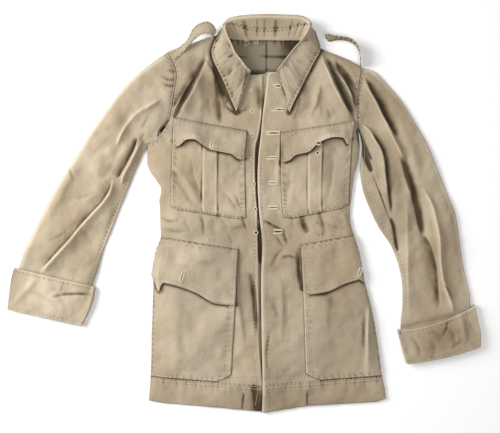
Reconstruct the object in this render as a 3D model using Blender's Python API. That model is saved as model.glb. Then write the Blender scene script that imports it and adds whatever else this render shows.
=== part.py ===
"""Khaki drill bush jacket laid flat on its back, front up and unbuttoned.

The back lies on the surface. The fronts, sleeves, collar, pockets, flaps and straps lie on it
as walls of cloth. +X points to the wearer's left, +Y to the collar, +Z up from the surface.
Tables are in millimetres; the meshes are in metres.
"""
import math

import bmesh
import bpy
import numpy as np

# Driving dimensions, in millimetres
CLOTH = 1.5
SEAM_GAP = 0.3
COLLAR_WALL = 2.4
STRAP_WALL = 2.2
PUFF = 6.0
PUFF_REACH = 34.0
TUBE_GAP = 0.5
LAP_LIFT = 2.4
LAP_WIDTH = 40.0
PLEAT_RISE = 1.5
POCKET_FULLNESS = 2.0
FLAP_CLEARANCE = 1.2
CUFF_CLEARANCE = 2.4
CUFF_POINTS = 11
COLLAR_EASE = 0.5
COLLAR_CELL = 8.0
FLAP_NEIGHBOURS = ((0, 6), (0, -6), (4, 0), (-4, 0))
TEAR_WIDTH = 8.0
LAYER = CLOTH + SEAM_GAP
# Middle of the outline in the tables' frame; it becomes the origin
CENTRE = (-1.6, 3.3, 0.0)

# Colours, roughness
KHAKI = (0.60, 0.53, 0.41, 1.0)
KHAKI_PALE = (0.66, 0.60, 0.48, 1.0)
KHAKI_DARK = (0.50, 0.43, 0.32, 1.0)
ROUGHNESS = 0.92

# Stations down the body: each seam or level that a row of the fronts follows
SHOULDER, FLAP, UNDERARM, POCKET, HIP_FLAP, HIP_POCKET, HEM = (
    0.0, 3.0, 4.0, 6.0, 7.0, 9.0, 10.0)

# Columns of the right front, (station, x, y) from shoulder to hem
RIGHT_SIDE = (
    (0.0, -154, 328), (0.5, -142, 306), (1.0, -135, 282), (2.0, -140, 248), (2.6, -146, 212),
    (3.0, -149, 196), (3.4, -156, 180), (3.7, -171, 160), (4.0, -194, 138), (4.3, -195, 108),
    (4.45, -190, 90), (4.65, -176, 70), (4.85, -167, 52), (5.0, -171, 32), (6.0, -170, 18),
    (6.5, -169, -12), (7.0, -168, -42), (7.35, -177, -68), (7.8, -184, -104), (8.0, -186, -118),
    (8.1, -183, -130), (8.5, -185, -208), (9.0, -188, -318), (10.0, -192, -368),
)
RIGHT_POCKET_OUT = (
    (0.0, -122, 340), (1.0, -112, 290), (2.0, -125, 252), (3.0, -141, 197), (4.0, -144, 132),
    (5.0, -148, 30), (6.0, -146, 15), (7.0, -144, -45), (8.0, -160, -122), (9.0, -162, -321),
    (10.0, -164, -373),
)
RIGHT_POCKET_IN = (
    (0.0, -68, 357), (1.0, -48, 300), (2.0, -22, 256), (2.4, -12, 228), (3.0, 3, 170),
    (4.0, -1, 108), (5.0, 1, 8), (6.0, 1, -7), (7.0, -13, -66), (8.0, -18, -146),
    (9.0, -29, -331), (10.0, -34, -384),
)
RIGHT_LIP = (
    (0.0, -48, 363), (1.0, -28, 308), (2.0, 4, 268), (2.2, 34, 281), (2.4, 34, 258),
    (2.7, 33, 212), (3.0, 27, 168), (3.5, 19, 136), (4.0, 18, 104), (4.5, 19, 60), (5.0, 23, 6),
    (6.0, 23, -9), (7.0, 25, -70), (8.0, 27, -154), (8.6, 27, -240), (9.0, 34, -336),
    (10.0, 28, -390),
)
RIGHT_EDGE = (
    (0.0, -38, 366), (0.5, -30, 342), (1.0, -18, 314), (1.6, 2, 286), (2.0, 20, 281),
    (2.2, 48, 285), (2.4, 48, 258), (3.0, 43, 165), (4.0, 35, 102), (5.0, 40, 3), (6.0, 40, -12),
    (7.0, 42, -73), (8.0, 44, -157), (9.0, 44, -338), (10.0, 38, -391),
)
# Columns of the left front, from the opening to the side
LEFT_EDGE = (
    (0.0, 121, 352), (0.5, 112, 334), (1.0, 102, 316), (2.0, 74, 288), (2.2, 46, 286),
    (2.4, 43, 262), (2.7, 36, 208), (3.0, 32, 164), (4.0, 27, 118), (4.5, 25, 72), (5.0, 28, 10),
    (6.0, 30, -10), (7.0, 34, -64), (8.0, 32, -148), (9.0, 35, -334), (10.0, 34, -393),
)
LEFT_POCKET_IN = (
    (0.0, 140, 338), (1.0, 120, 288), (2.0, 94, 232), (2.4, 86, 212), (3.0, 72, 167),
    (4.0, 72, 112), (5.0, 75, 16), (6.0, 80, -7), (7.0, 110, -57), (8.0, 116, -142),
    (9.0, 122, -328), (10.0, 124, -379),
)
LEFT_POCKET_OUT = (
    (0.0, 210, 310), (1.0, 208, 266), (2.0, 212, 226), (3.0, 218, 190), (4.0, 213, 158),
    (5.0, 207, 34), (6.0, 207, 19), (7.0, 204, -40), (8.0, 224, -129), (9.0, 256, -318),
    (10.0, 262, -371),
)
LEFT_SIDE = (
    (0.0, 232, 296), (0.5, 230, 282), (1.0, 226, 260), (2.0, 223, 228), (3.0, 224, 192),
    (4.0, 226, 170), (4.3, 229, 138), (4.5, 227, 112), (4.7, 218, 80), (5.0, 212, 34),
    (6.0, 210, 20), (6.3, 209, 0), (6.6, 212, -20), (7.0, 217, -37), (7.5, 229, -78),
    (8.0, 238, -126), (8.5, 251, -178), (8.8, 264, -248), (9.0, 273, -317), (9.6, 279, -346),
    (10.0, 281, -364),
)
# Columns of the two back halves, from the side to the centre seam
RIGHT_BACK_NECK = (
    (0.0, -38, 362), (1.0, -60, 300), (3.0, -60, 186), (5.0, -60, 22), (8.0, -70, -130),
    (10.0, -70, -378),
)
BACK_CENTRE = (
    (0.0, 43, 356), (1.0, 43, 290), (3.0, 43, 176), (5.0, 43, 10), (8.0, 43, -150),
    (10.0, 43, -389),
)
LEFT_BACK_NECK = (
    (0.0, 121, 350), (1.0, 140, 290), (3.0, 140, 182), (5.0, 140, 20), (8.0, 150, -130),
    (10.0, 150, -374),
)
# Sleeve rings: the under end at the inner edge, the over end at the outer edge
RIGHT_SLEEVE = (
    # under_x, under_y, over_x, over_y
    (-194, 138, -154, 328), (-198, 132, -190, 303), (-204, 124, -230, 268), (-209, 112, -270, 219),
    (-217, 94, -306, 168), (-231, 60, -333, 126), (-249, 16, -362, 82), (-266, -28, -390, 32),
    (-282, -68, -414, -16), (-295, -112, -439, -66), (-306, -142, -452, -107),
    (-320, -184, -460, -150), (-334, -210, -464, -178),
)
LEFT_SLEEVE = (
    (226, 170, 232, 296), (230, 162, 256, 290), (232, 152, 282, 265), (234, 136, 312, 230),
    (233, 116, 341, 184), (230, 92, 365, 142), (235, 54, 385, 94), (248, 18, 403, 48),
    (268, -24, 422, -2), (292, -60, 429, -48), (306, -96, 435, -92), (314, -136, 444, -136),
    (315, -170, 449, -158), (311, -222, 450, -186), (319, -250, 454, -212),
    (330, -279, 459, -248),
)
# Cuff rings, the same columns and how far the ring's middle bows towards the hand
RIGHT_CUFF = (
    (-298, -141, -461, -103, 0), (-301, -160, -467, -126, 0), (-309, -186, -472, -162, 0),
    (-325, -219, -474, -186, 0),
)
LEFT_CUFF = (
    (304, -227, 459, -177, 11), (309, -246, 465, -206, 7), (315, -270, 471, -236, 5),
    (322, -294, 470, -261, 5),
)
# Largest folds: a curve through three points, its width to the left and right of its
# direction, and its height, below zero for a hollow
FOLDS = (
    # x0, y0, x1, y1, x2, y2, left, right, height
    (-64, 326, -104, 250, -140, 196, 16, 12, 11),
    (-80, 306, -112, 236, -142, 200, 8, 14, -4),
    (-92, 300, -122, 250, -140, 206, 12, 10, 6),
    (-54, 300, -56, 240, -48, 190, 18, 16, -4),
    (146, 330, 176, 262, 218, 196, 14, 14, 11),
    (164, 308, 186, 258, 214, 202, 10, 10, -4),
    (170, 300, 192, 270, 214, 226, 10, 10, 6),
    (-140, 116, -104, 64, -84, 20, 14, 14, 5),
    (-88, 120, -92, 60, -90, 10, 20, 20, 3),
    (-120, 10, -60, -18, -6, -30, 12, 12, 4),
    (60, 8, 110, -16, 150, -30, 14, 12, 5),
    (150, -30, 186, -20, 206, -34, 12, 12, 4),
    (74, -100, 60, -190, 48, -290, 18, 18, 4),
    (246, -180, 240, -260, 244, -320, 14, 8, 7),
    (120, -160, 150, -240, 200, -300, 40, 40, 4),
    (-150, -170, -110, -240, -60, -300, 40, 40, 4),
    (-200, 218, -236, 186, -262, 128, 14, 14, 8),
    (-232, 156, -262, 110, -290, 60, 12, 12, 8),
    (-262, 70, -330, -10, -404, -106, 20, 10, 12),
    (-280, 84, -340, 10, -400, -66, 10, 16, -3),
    (-200, 60, -240, -20, -276, -80, 12, 12, 4),
    (-150, 276, -176, 262, -200, 262, 12, 10, 5),
    (240, 272, 284, 180, 336, 30, 12, 9, 16),
    (266, 252, 302, 176, 348, 40, 8, 12, -5),
    (360, 50, 386, -60, 410, -190, 12, 12, 10),
    (342, 20, 358, -60, 364, -160, 10, 12, -4),
    (238, 184, 276, 110, 286, 30, 12, 8, 11),
    (250, 168, 288, 100, 296, 10, 8, 10, -4),
    (318, 40, 322, -60, 324, -170, 12, 12, 8),
)
# Flap lower edges: share of the top seam, length of the flap there, lift of its edge
RIGHT_BREAST_FLAP = (
    (0.0, 50, 2), (0.06, 58, 3), (0.2, 42, 9), (0.3, 39, 11), (0.42, 46, 6), (0.55, 53, 3),
    (0.8, 53, 2), (0.93, 60, 3), (1.0, 57, 2),
)
LEFT_BREAST_FLAP = (
    (0.0, 59, 2), (0.12, 57, 3), (0.2, 51, 3), (0.38, 48, 5), (0.53, 35, 10), (0.7, 30, 13),
    (0.86, 33, 13), (0.94, 39, 9), (1.0, 34, 5),
)
RIGHT_HIP_FLAP = (
    (0.0, 78, 1), (0.15, 90, 2), (0.27, 94, 5), (0.37, 88, 4), (0.5, 85, 3), (0.7, 89, 2),
    (0.88, 97, 3), (1.0, 96, 3),
)
LEFT_HIP_FLAP = (
    (0.0, 88, 6), (0.06, 95, 4), (0.2, 96, 3), (0.4, 91, 3), (0.6, 89, 4), (0.8, 93, 3),
    (0.92, 96, 2), (1.0, 88, 1),
)
# Collar sections from the right front corner round the back to the left one. The seam is where
# the band is sewn on, the fold is the roll line, the edge is the leaf's free edge. The drape is
# 1 where the leaf lies on the front, 0 where it falls behind the neck.
COLLAR = (
    # seam_x, seam_y, fold_x, fold_y, fold_rise, edge_x, edge_y, drape
    (8, 277, 11, 288, 6, -17, 208, 1), (-6, 290, 2, 296, 9, -29, 236, 1),
    (-17, 306, -9, 310, 13, -45, 274, 1), (-27, 326, -20, 324, 17, -60, 304, 1),
    (-34, 344, -28, 342, 21, -66, 328, 1), (-32, 355, -37, 362, 24, -56, 356, 0.7),
    (-22, 356, -38, 379, 25, -47, 373, 0.3), (-8, 356, -24, 388, 26, -26, 378, 0),
    (14, 356, 10, 392, 27, 10, 366, 0), (43, 356, 43, 393, 27, 43, 364, 0),
    (74, 356, 78, 392, 27, 78, 366, 0), (98, 356, 111, 390, 26, 111, 376, 0),
    (112, 354, 127, 380, 25, 135, 373, 0.3), (116, 349, 123, 364, 24, 144, 356, 0.7),
    (115, 336, 113, 348, 21, 150, 332, 1), (106, 320, 98, 332, 17, 136, 304, 1),
    (94, 304, 82, 312, 13, 118, 268, 1), (82, 290, 71, 297, 9, 101, 234, 1),
    (66, 279, 63, 288, 6, 88, 206, 1),
)
# Shoulder straps: both edges of each section, from the sleeve seam to the tip
RIGHT_STRAP = (
    # x, y, z of the outer edge, then of the inner edge
    (-148, 324, 3, -140, 310, 3), (-130, 337, 9, -124, 324, 11), (-114, 350, 17, -110, 339, 20),
    (-103, 370, 24, -96, 351, 24), (-90, 380, 28, -84, 358, 27), (-74, 384, 28, -70, 358, 27),
    (-62, 377, 24, -64, 354, 23), (-56, 366, 20, -66, 350, 20),
)
LEFT_STRAP = (
    (231, 297.6, 1, 229, 298, 18), (231, 310, 1.4, 228, 310, 26), (229, 326, 1.4, 226, 326, 27),
    (221, 341, 1.4, 219, 342, 27), (208, 349, 1.4, 207, 351, 27), (192, 352, 1.4, 192, 354, 27),
    (178, 351, 1.4, 177, 357, 25), (168, 349, 1.6, 166, 361, 21), (161, 356, 5, 160, 361, 15),
)


def pchip(stations, values, at):
    """Smooth curve through values that never swings past them."""
    x = np.asarray(stations, float)
    y = np.asarray(values, float)
    at = np.clip(at, x[0], x[-1])
    step = np.diff(x)
    slope = np.diff(y) / step
    tangent = np.concatenate(([slope[0]], np.zeros(len(x) - 2), [slope[-1]]))
    same = slope[:-1] * slope[1:] > 0
    w0 = 2 * step[1:] + step[:-1]
    w1 = step[1:] + 2 * step[:-1]
    safe0 = np.where(same, slope[:-1], 1.0)
    safe1 = np.where(same, slope[1:], 1.0)
    tangent[1:-1] = np.where(same, (w0 + w1) / (w0 / safe0 + w1 / safe1), 0.0)
    i = np.clip(np.searchsorted(x, at, side="right") - 1, 0, len(x) - 2)
    t = (at - x[i]) / step[i]
    return ((2 * t**3 - 3 * t**2 + 1) * y[i] + (t**3 - 2 * t**2 + t) * step[i] * tangent[i]
            + (3 * t**2 - 2 * t**3) * y[i + 1] + (t**3 - t**2) * step[i] * tangent[i + 1])


def column(table, at):
    """Points of one column of a panel at the given stations."""
    rows = np.array(table, float)
    return np.stack([pchip(rows[:, 0], rows[:, k], at) for k in range(1, rows.shape[1])], -1)


def smooth_rows(table, at):
    """Points of a table of sections, at fractional row numbers."""
    rows = np.array(table, float)
    numbers = np.arange(len(rows))
    return np.stack([pchip(numbers, rows[:, k], at) for k in range(rows.shape[1])], -1)


def panel_points(columns, across, down):
    """Plan points of a panel: across counts its columns, down its stations."""
    down = np.asarray(down, float)
    lines = np.stack([column(table, down) for table in columns], 1)
    left = np.minimum(np.floor(across).astype(int), len(columns) - 2)
    share = (across - left)[None, :, None]
    return lines[:, left] * (1 - share) + lines[:, left + 1] * share


def segments(points):
    return np.concatenate([points[:-1], points[1:]], 1)


def silhouette():
    """The garment's outer edges in plan, where the top layer comes down to the back."""
    side = np.linspace(UNDERARM, HEM, 60)
    hem_across = np.linspace(0, 4, 9)
    parts = [
        column(RIGHT_SIDE, side),
        column(LEFT_SIDE, side),
        panel_points(RIGHT_FRONT, hem_across, [HEM])[0],
        panel_points(LEFT_FRONT, hem_across * 0.75, [HEM])[0],
        panel_points(RIGHT_FRONT, hem_across, [SHOULDER])[0],
        panel_points(LEFT_FRONT, hem_across * 0.75, [SHOULDER])[0],
    ]
    for table, last in ((RIGHT_SLEEVE, 11.6), (LEFT_SLEEVE, 14.6)):
        rings = smooth_rows(table, np.linspace(0, last, 60))
        parts += [rings[:, :2], rings[:, 2:4]]
    return np.concatenate([segments(part) for part in parts])


def distance_to_segments(points, lines):
    start = lines[:, :2]
    run = lines[:, 2:] - start
    offset = points[:, None] - start[None]
    share = np.clip((offset * run).sum(-1) / (run * run).sum(-1), 0, 1)
    return np.linalg.norm(offset - share[..., None] * run, axis=-1).min(1)


def fold_height(points, fold):
    """Height of one fold: a rounded ridge or trough along a curve, fading out at both ends."""
    x0, y0, x1, y1, x2, y2, left, right, height = fold
    start, middle, end = np.array([x0, y0]), np.array([x1, y1]), np.array([x2, y2])
    control = 2 * middle - (start + end) / 2
    t = np.linspace(0, 1, 25)[:, None]
    curve = start * (1 - t) ** 2 + control * 2 * t * (1 - t) + end * t**2
    run = curve[1:] - curve[:-1]
    offset = points[:, None] - curve[None, :-1]
    share = np.clip((offset * run).sum(-1) / (run * run).sum(-1), 0, 1)
    away = offset - share[..., None] * run
    distance = np.linalg.norm(away, axis=-1)
    nearest = distance.argmin(1)
    pick = np.arange(len(points))
    far = distance[pick, nearest]
    turn = run[nearest, 0] * away[pick, nearest, 1] - run[nearest, 1] * away[pick, nearest, 0]
    along = (nearest + share[pick, nearest]) / len(run)
    fade = np.sin(np.pi * np.clip(along, 0, 1)) ** 0.7
    return height * fade * np.exp(-((far / np.where(turn > 0, left, right)) ** 2))


def skin(plan):
    """Height of the underside of the garment's top layer over the surface, for plan points."""
    points = plan.reshape(-1, 2)
    edge = np.clip(distance_to_segments(points, OUTLINE) / PUFF_REACH, 0, 1)
    rise = np.sqrt(1 - (1 - edge) ** 2)
    folds = sum(fold_height(points, fold) for fold in FOLDS)
    height = LAYER + PUFF * rise + rise * folds
    return np.maximum(height, LAYER).reshape(plan.shape[:-1])


def lifted(plan, height):
    return np.concatenate([plan, np.broadcast_to(height, plan.shape[:-1])[..., None]], -1)


def grid_faces(across, middle):
    """Triangles of a grid; their diagonals lean outwards and down from the middle column."""
    rows, cols = across
    faces = []
    for i in range(rows - 1):
        for j in range(cols - 1):
            a, b = i * cols + j, i * cols + j + 1
            c, d = a + cols, b + cols
            faces += [(a, c, d), (a, d, b)] if j < middle else [(a, c, b), (b, c, d)]
    return faces


def make_object(name, points, faces, colour):
    mesh = bpy.data.meshes.new(name)
    mesh.from_pydata(((np.asarray(points) - CENTRE) / 1000).tolist(), [], faces)
    bm = bmesh.new()
    bm.from_mesh(mesh)
    bmesh.ops.recalc_face_normals(bm, faces=bm.faces)
    bm.to_mesh(mesh)
    bm.free()
    mesh.shade_smooth()
    mesh.set_sharp_from_angle(angle=math.radians(50))
    material = bpy.data.materials.new(name)
    material.use_nodes = True
    shader = material.node_tree.nodes["Principled BSDF"]
    shader.inputs["Base Color"].default_value = colour
    shader.inputs["Roughness"].default_value = ROUGHNESS
    shader.inputs["Metallic"].default_value = 0.0
    mesh.materials.append(material)
    piece = bpy.data.objects.new(name, mesh)
    bpy.context.scene.collection.objects.link(piece)
    return piece


def wall(name, top, bottom, colour, middle=0, cut_corners=()):
    """A closed wall of cloth between two grids of the same size."""
    rows, cols = top.shape[:2]
    faces = grid_faces((rows, cols), middle)
    corner = {"left": (rows - 1) * cols, "right": rows * cols - 1}
    cut = {corner[side] for side in cut_corners}
    faces = [face for face in faces if not cut & set(face)]
    used = sorted({corner for face in faces for corner in face})
    number = {old: new for new, old in enumerate(used)}
    faces = [tuple(number[corner] for corner in face) for face in faces]
    count = len(used)
    edges = {(face[k], face[(k + 1) % 3]) for face in faces for k in range(3)}
    rim = [edge for edge in edges if edge[::-1] not in edges]
    solid = list(faces) + [tuple(count + corner for corner in face[::-1]) for face in faces]
    for a, b in sorted(rim):
        solid += [(b, a, count + a), (b, count + a, count + b)]
    points = np.concatenate([top.reshape(-1, 3)[used], bottom.reshape(-1, 3)[used]])
    return make_object(name, points, solid, colour)


def upright(surface):
    """How much thicker a sloping wall measures straight up, at each point of a grid."""
    down = np.gradient(surface, axis=0)
    over = np.gradient(surface, axis=1)
    normal = np.cross(down, over)
    lean = np.abs(normal[..., 2]) / np.maximum(np.linalg.norm(normal, axis=-1), 1e-9)
    return 1 / np.clip(lean, 0.7, 1.0)


def steps(*stops):
    """Values from (start, end, count) runs joined end to end."""
    runs = [np.linspace(start, end, count, endpoint=False) for start, end, count in stops]
    return np.concatenate(runs + [[stops[-1][1]]])


RIGHT_FRONT = (RIGHT_SIDE, RIGHT_POCKET_OUT, RIGHT_POCKET_IN, RIGHT_LIP, RIGHT_EDGE)
LEFT_FRONT = (LEFT_EDGE, LEFT_POCKET_IN, LEFT_POCKET_OUT, LEFT_SIDE)
OUTLINE = silhouette()

ARM_ROWS = steps((0.0, 1.0, 2), (1.0, 2.0, 2), (2.0, 3.0, 3), (3.0, 4.0, 3))
BODY_ROWS = np.concatenate([
    ARM_ROWS[:-1],
    steps((4.0, 5.0, 7), (5.0, 6.0, 1), (6.0, 7.0, 4), (7.0, 8.0, 5), (8.0, 8.93, 9),
          (8.93, 9.0, 1), (9.0, 10.0, 3)),
])
RIGHT_ACROSS = steps((0.0, 0.3, 1), (0.3, 1.0, 2), (1.0, 1.1, 1), (1.1, 1.4, 2), (1.4, 1.42, 1),
                     (1.42, 1.62, 1), (1.62, 1.64, 1), (1.64, 1.9, 2), (1.9, 2.0, 1),
                     (2.0, 3.0, 2), (3.0, 3.25, 1), (3.25, 4.0, 1))
LEFT_ACROSS = steps((0.0, 0.2, 1), (0.2, 1.0, 2), (1.0, 1.1, 1), (1.1, 1.36, 2), (1.36, 1.38, 1),
                    (1.38, 1.58, 1), (1.58, 1.6, 1), (1.6, 1.9, 2), (1.9, 2.0, 1),
                    (2.0, 3.0, 3))


class Panel:
    """A front: its plan grid, its underside and its upper side."""

    def __init__(self, columns, across, down, lift):
        self.columns = columns
        self.across = across
        self.down = down
        self.plan = panel_points(columns, across, down)
        self.under = skin(self.plan) + lift(self.plan, across, down)
        self.top = self.under + CLOTH * upright(lifted(self.plan, self.under))
        self.middle = int(np.searchsorted(across, 1.5))

    def between(self, left, right, first, last):
        """Rows and columns of the grid between two columns and two stations."""
        rows = np.flatnonzero((self.down > first - 1e-6) & (self.down < last + 1e-6))
        cols = np.flatnonzero((self.across > left - 1e-6) & (self.across < right + 1e-6))
        return rows, cols

    def height_at(self, plan):
        """Height of the faceted upper side at plan points, -1 outside the panel."""
        points = plan.reshape(-1, 2)
        grid = self.plan.reshape(-1, 2)
        heights = self.top.reshape(-1)
        best = np.full(len(points), -1.0)
        for face in grid_faces(self.plan.shape[:2], self.middle):
            a, b, c = grid[list(face)]
            area = (b[0] - a[0]) * (c[1] - a[1]) - (b[1] - a[1]) * (c[0] - a[0])
            if abs(area) < 1e-9:
                continue
            offset = points - a
            u = (offset[:, 0] * (c[1] - a[1]) - offset[:, 1] * (c[0] - a[0])) / area
            v = ((b[0] - a[0]) * offset[:, 1] - (b[1] - a[1]) * offset[:, 0]) / area
            inside = (u > -1e-6) & (v > -1e-6) & (u + v < 1 + 1e-6)
            height = heights[face[0]] * (1 - u - v) + heights[face[1]] * u + heights[face[2]] * v
            best = np.where(inside, np.maximum(best, height), best)
        return best.reshape(plan.shape[:-1])


def right_underlap(plan, across, down):
    """The right front's free edge drops past its lip, under the left front."""
    past_lip = np.clip((across - 3.0) / 0.25, 0, 1)[None, :]
    below_neck = np.clip((down - 2.0) / 0.4, 0, 1)[:, None]
    return (LAYER - skin(plan)) * past_lip * below_neck


def left_overlap(plan, across, down):
    """The left front is lifted over the right one along the opening."""
    edge = column(LEFT_EDGE, np.linspace(SHOULDER, HEM, 80))
    away = distance_to_segments(plan.reshape(-1, 2), segments(edge)).reshape(plan.shape[:-1])
    share = np.clip(1 - away / LAP_WIDTH, 0, 1)
    return LAP_LIFT * share * share * (3 - 2 * share)


def add_front(name, panel, colour):
    top, under = lifted(panel.plan, panel.top), lifted(panel.plan, panel.under)
    wall(name, top, under, colour, panel.middle)


def add_back(name, columns, across, down, colour):
    plan = panel_points(columns, across, down)
    wall(name, lifted(plan, CLOTH), lifted(plan, 0.0), colour)


def add_pocket(name, panel, place, colour, corners, pleat=None):
    """A patch pocket made from its panel's points, with a raised pleat where it has one."""
    left, right, first, last = place
    rows, cols = panel.between(*place)
    plan = panel.plan[np.ix_(rows, cols)]
    across = (panel.across[cols] - left) / (right - left)
    down = (panel.down[rows] - first) / (last - first)
    full = np.sin(np.pi * across)[None, :] * np.sin(np.pi * down)[:, None]
    under = panel.top[np.ix_(rows, cols)] + SEAM_GAP + POCKET_FULLNESS * full
    top = under + CLOTH
    if pleat:
        on_pleat = (panel.across[cols] > pleat[0] - 1e-6) & (panel.across[cols] < pleat[1] + 1e-6)
        top = top + np.where(on_pleat, PLEAT_RISE, 0.0)[None, :]
    wall(name, lifted(plan, top), lifted(plan, under), colour, panel.middle - cols[0], corners)


def add_flap(name, panel, left, right, seam, table, colour, pleat_rise):
    """A flap sewn along a station of its panel, its lower edge cut and lifted by its table."""
    _, cols = panel.between(left, right, seam, seam)
    across = panel.across[cols]
    share = (across - left) / (right - left)
    rows = np.array(table, float)
    length = pchip(rows[:, 0], rows[:, 1], share)
    lift = pchip(rows[:, 0], rows[:, 2], share)
    ends = panel_points(panel.columns, across, [seam, seam + 1.0])
    reach = np.linalg.norm(ends[1] - ends[0], axis=-1)
    down = np.array([0.0, 0.12, 0.4, 0.7, 1.0])
    plan = np.array([
        [panel_points(panel.columns, across[j:j + 1], [seam + part * length[j] / reach[j]])[0, 0]
         for j in range(len(across))]
        for part in down])
    stack = LAYER + POCKET_FULLNESS + pleat_rise + FLAP_CLEARANCE
    clear = SEAM_GAP + stack * np.clip(down / 0.12, 0, 1)
    base = panel.height_at(plan)
    around = [panel.height_at(plan[1:] + np.array(step)) for step in FLAP_NEIGHBOURS]
    base[1:] = np.maximum(base[1:], np.max(around, axis=0))
    under = base + clear[:, None] + lift[None, :] * down[:, None] ** 1.5
    wall(name, lifted(plan, under + CLOTH), lifted(plan, under), colour, len(cols) // 2)


def ring_plan(rings, bow):
    """Plan points across each ring, from its outer to its inner edge."""
    share = np.linspace(0, 1, bow.shape[1])[None, :, None]
    return rings[:, None, 2:4] * (1 - share) + rings[:, None, :2] * share + bow


def add_tube(name, plan, base, under, colour):
    """A flattened tube of cloth, open at both ends, whose lower wall lies flat."""
    loops_out, loops_in = [], []
    edge_wall = CLOTH + 0.2
    for points, low, heights in zip(plan, base, under):
        across = (points[-1] - points[0]) / np.linalg.norm(points[-1] - points[0])
        floor = low + CLOTH
        middle = floor + TUBE_GAP / 2
        roof = np.maximum(heights, floor + TUBE_GAP)
        roof[0] = roof[-1] = floor + TUBE_GAP
        for loop, inset, top, bottom in (
                (loops_out, 0.0, roof + CLOTH, low), (loops_in, edge_wall, roof, floor)):
            moved = points.copy()
            moved[0] = points[0] + across * (inset + CLOTH)
            moved[-1] = points[-1] - across * (inset + CLOTH)
            ring = [(*(points[0] + across * inset), middle)]
            ring += [(*point, z) for point, z in zip(moved, top)]
            ring += [(*(points[-1] - across * inset), middle)]
            ring += [(*point, bottom) for point in moved[::-2]]
            loop.append(ring)
    rows, size = len(loops_out), len(loops_out[0])
    corner = np.arange(rows * size * 2).reshape(2 * rows, size)
    faces = []
    pairs = [(i, i + 1) for i in range(rows - 1)] + [(rows + i, rows + i + 1) for i in range(rows - 1)]
    pairs += [(0, rows), (rows - 1, 2 * rows - 1)]
    for first, second in pairs:
        a, b = corner[first], np.roll(corner[first], -1)
        c, d = corner[second], np.roll(corner[second], -1)
        for j in range(size):
            faces += [(int(a[j]), int(b[j]), int(d[j])), (int(a[j]), int(d[j]), int(c[j]))]
    make_object(name, np.array(loops_out + loops_in).reshape(-1, 3), faces, colour)


def add_sleeve(name, table, side_table, cuff_row, outward, tear_row, colour):
    """A sleeve: its first ring lies along the armhole seam, its end inside the cuff."""
    ramp = (cuff_row - 1.1, cuff_row - 0.6)
    at = steps((0, 4, 6), (4, ramp[0], 11), (*ramp, 1), (ramp[1], len(table) - 1, 4))
    rings = smooth_rows(table, at)
    seam = column(side_table, ARM_ROWS)
    share = np.linspace(0, 1, len(ARM_ROWS))[:, None]
    armhole = seam - (seam[0] * (1 - share) + seam[-1] * share)
    fade = np.clip(1 - at / 2.5, 0, 1)[:, None, None] ** 2
    bow = armhole[None] * fade
    bow[0] += (outward * SEAM_GAP * 1.6, 0.0)
    if tear_row:
        bow[0, tear_row] += (outward * TEAR_WIDTH, -TEAR_WIDTH / 2)
    base = np.interp(at, ramp, (0.0, LAYER + 0.1))
    plan = ring_plan(rings, bow)
    add_tube(name, plan, base, skin(plan) + base[:, None] * 0.5, colour)


def add_cuff(name, table, colour):
    """A cuff turned up over the sleeve's end; its free edge bows where the sleeve lifts it."""
    rings = smooth_rows(table, steps((0, len(table) - 1, 5)))
    share = np.linspace(0, 1, CUFF_POINTS)
    bulge = (4 * share * (1 - share))[None, :, None] * np.array([0.0, -1.0])
    plan = ring_plan(rings, bulge * rings[:, 4][:, None, None])
    under = np.maximum(skin(plan) + LAYER + CUFF_CLEARANCE, 2 * LAYER + 2 * CLOTH + CUFF_CLEARANCE)
    add_tube(name, plan, np.zeros(len(plan)), under, colour)


def catmull(points, at):
    """Smooth curve through points that follow each other along the first axis."""
    i = np.clip(np.floor(at).astype(int), 0, len(points) - 2)
    t = (at - i).reshape((-1,) + (1,) * (points.ndim - 1))
    before, after = points[np.maximum(i - 1, 0)], points[np.minimum(i + 2, len(points) - 1)]
    start, end = points[i], points[i + 1]
    return 0.5 * (2 * start + (end - before) * t + (2 * before - 5 * start + 4 * end - after) * t**2
                  + (3 * start - before - 3 * end + after) * t**3)


def offset_wall(name, surface, thickness, colour, floor=0.0):
    """A wall half to each side of a surface, kept above the ground it lies on."""
    normal = np.cross(np.gradient(surface, axis=0), np.gradient(surface, axis=1))
    normal /= np.linalg.norm(normal, axis=-1)[..., None]
    sides = [surface + normal * thickness / 2, surface - normal * thickness / 2]
    for side in sides:
        side[..., 2] = np.maximum(side[..., 2], floor)
    wall(name, sides[0], sides[1], colour)


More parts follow.
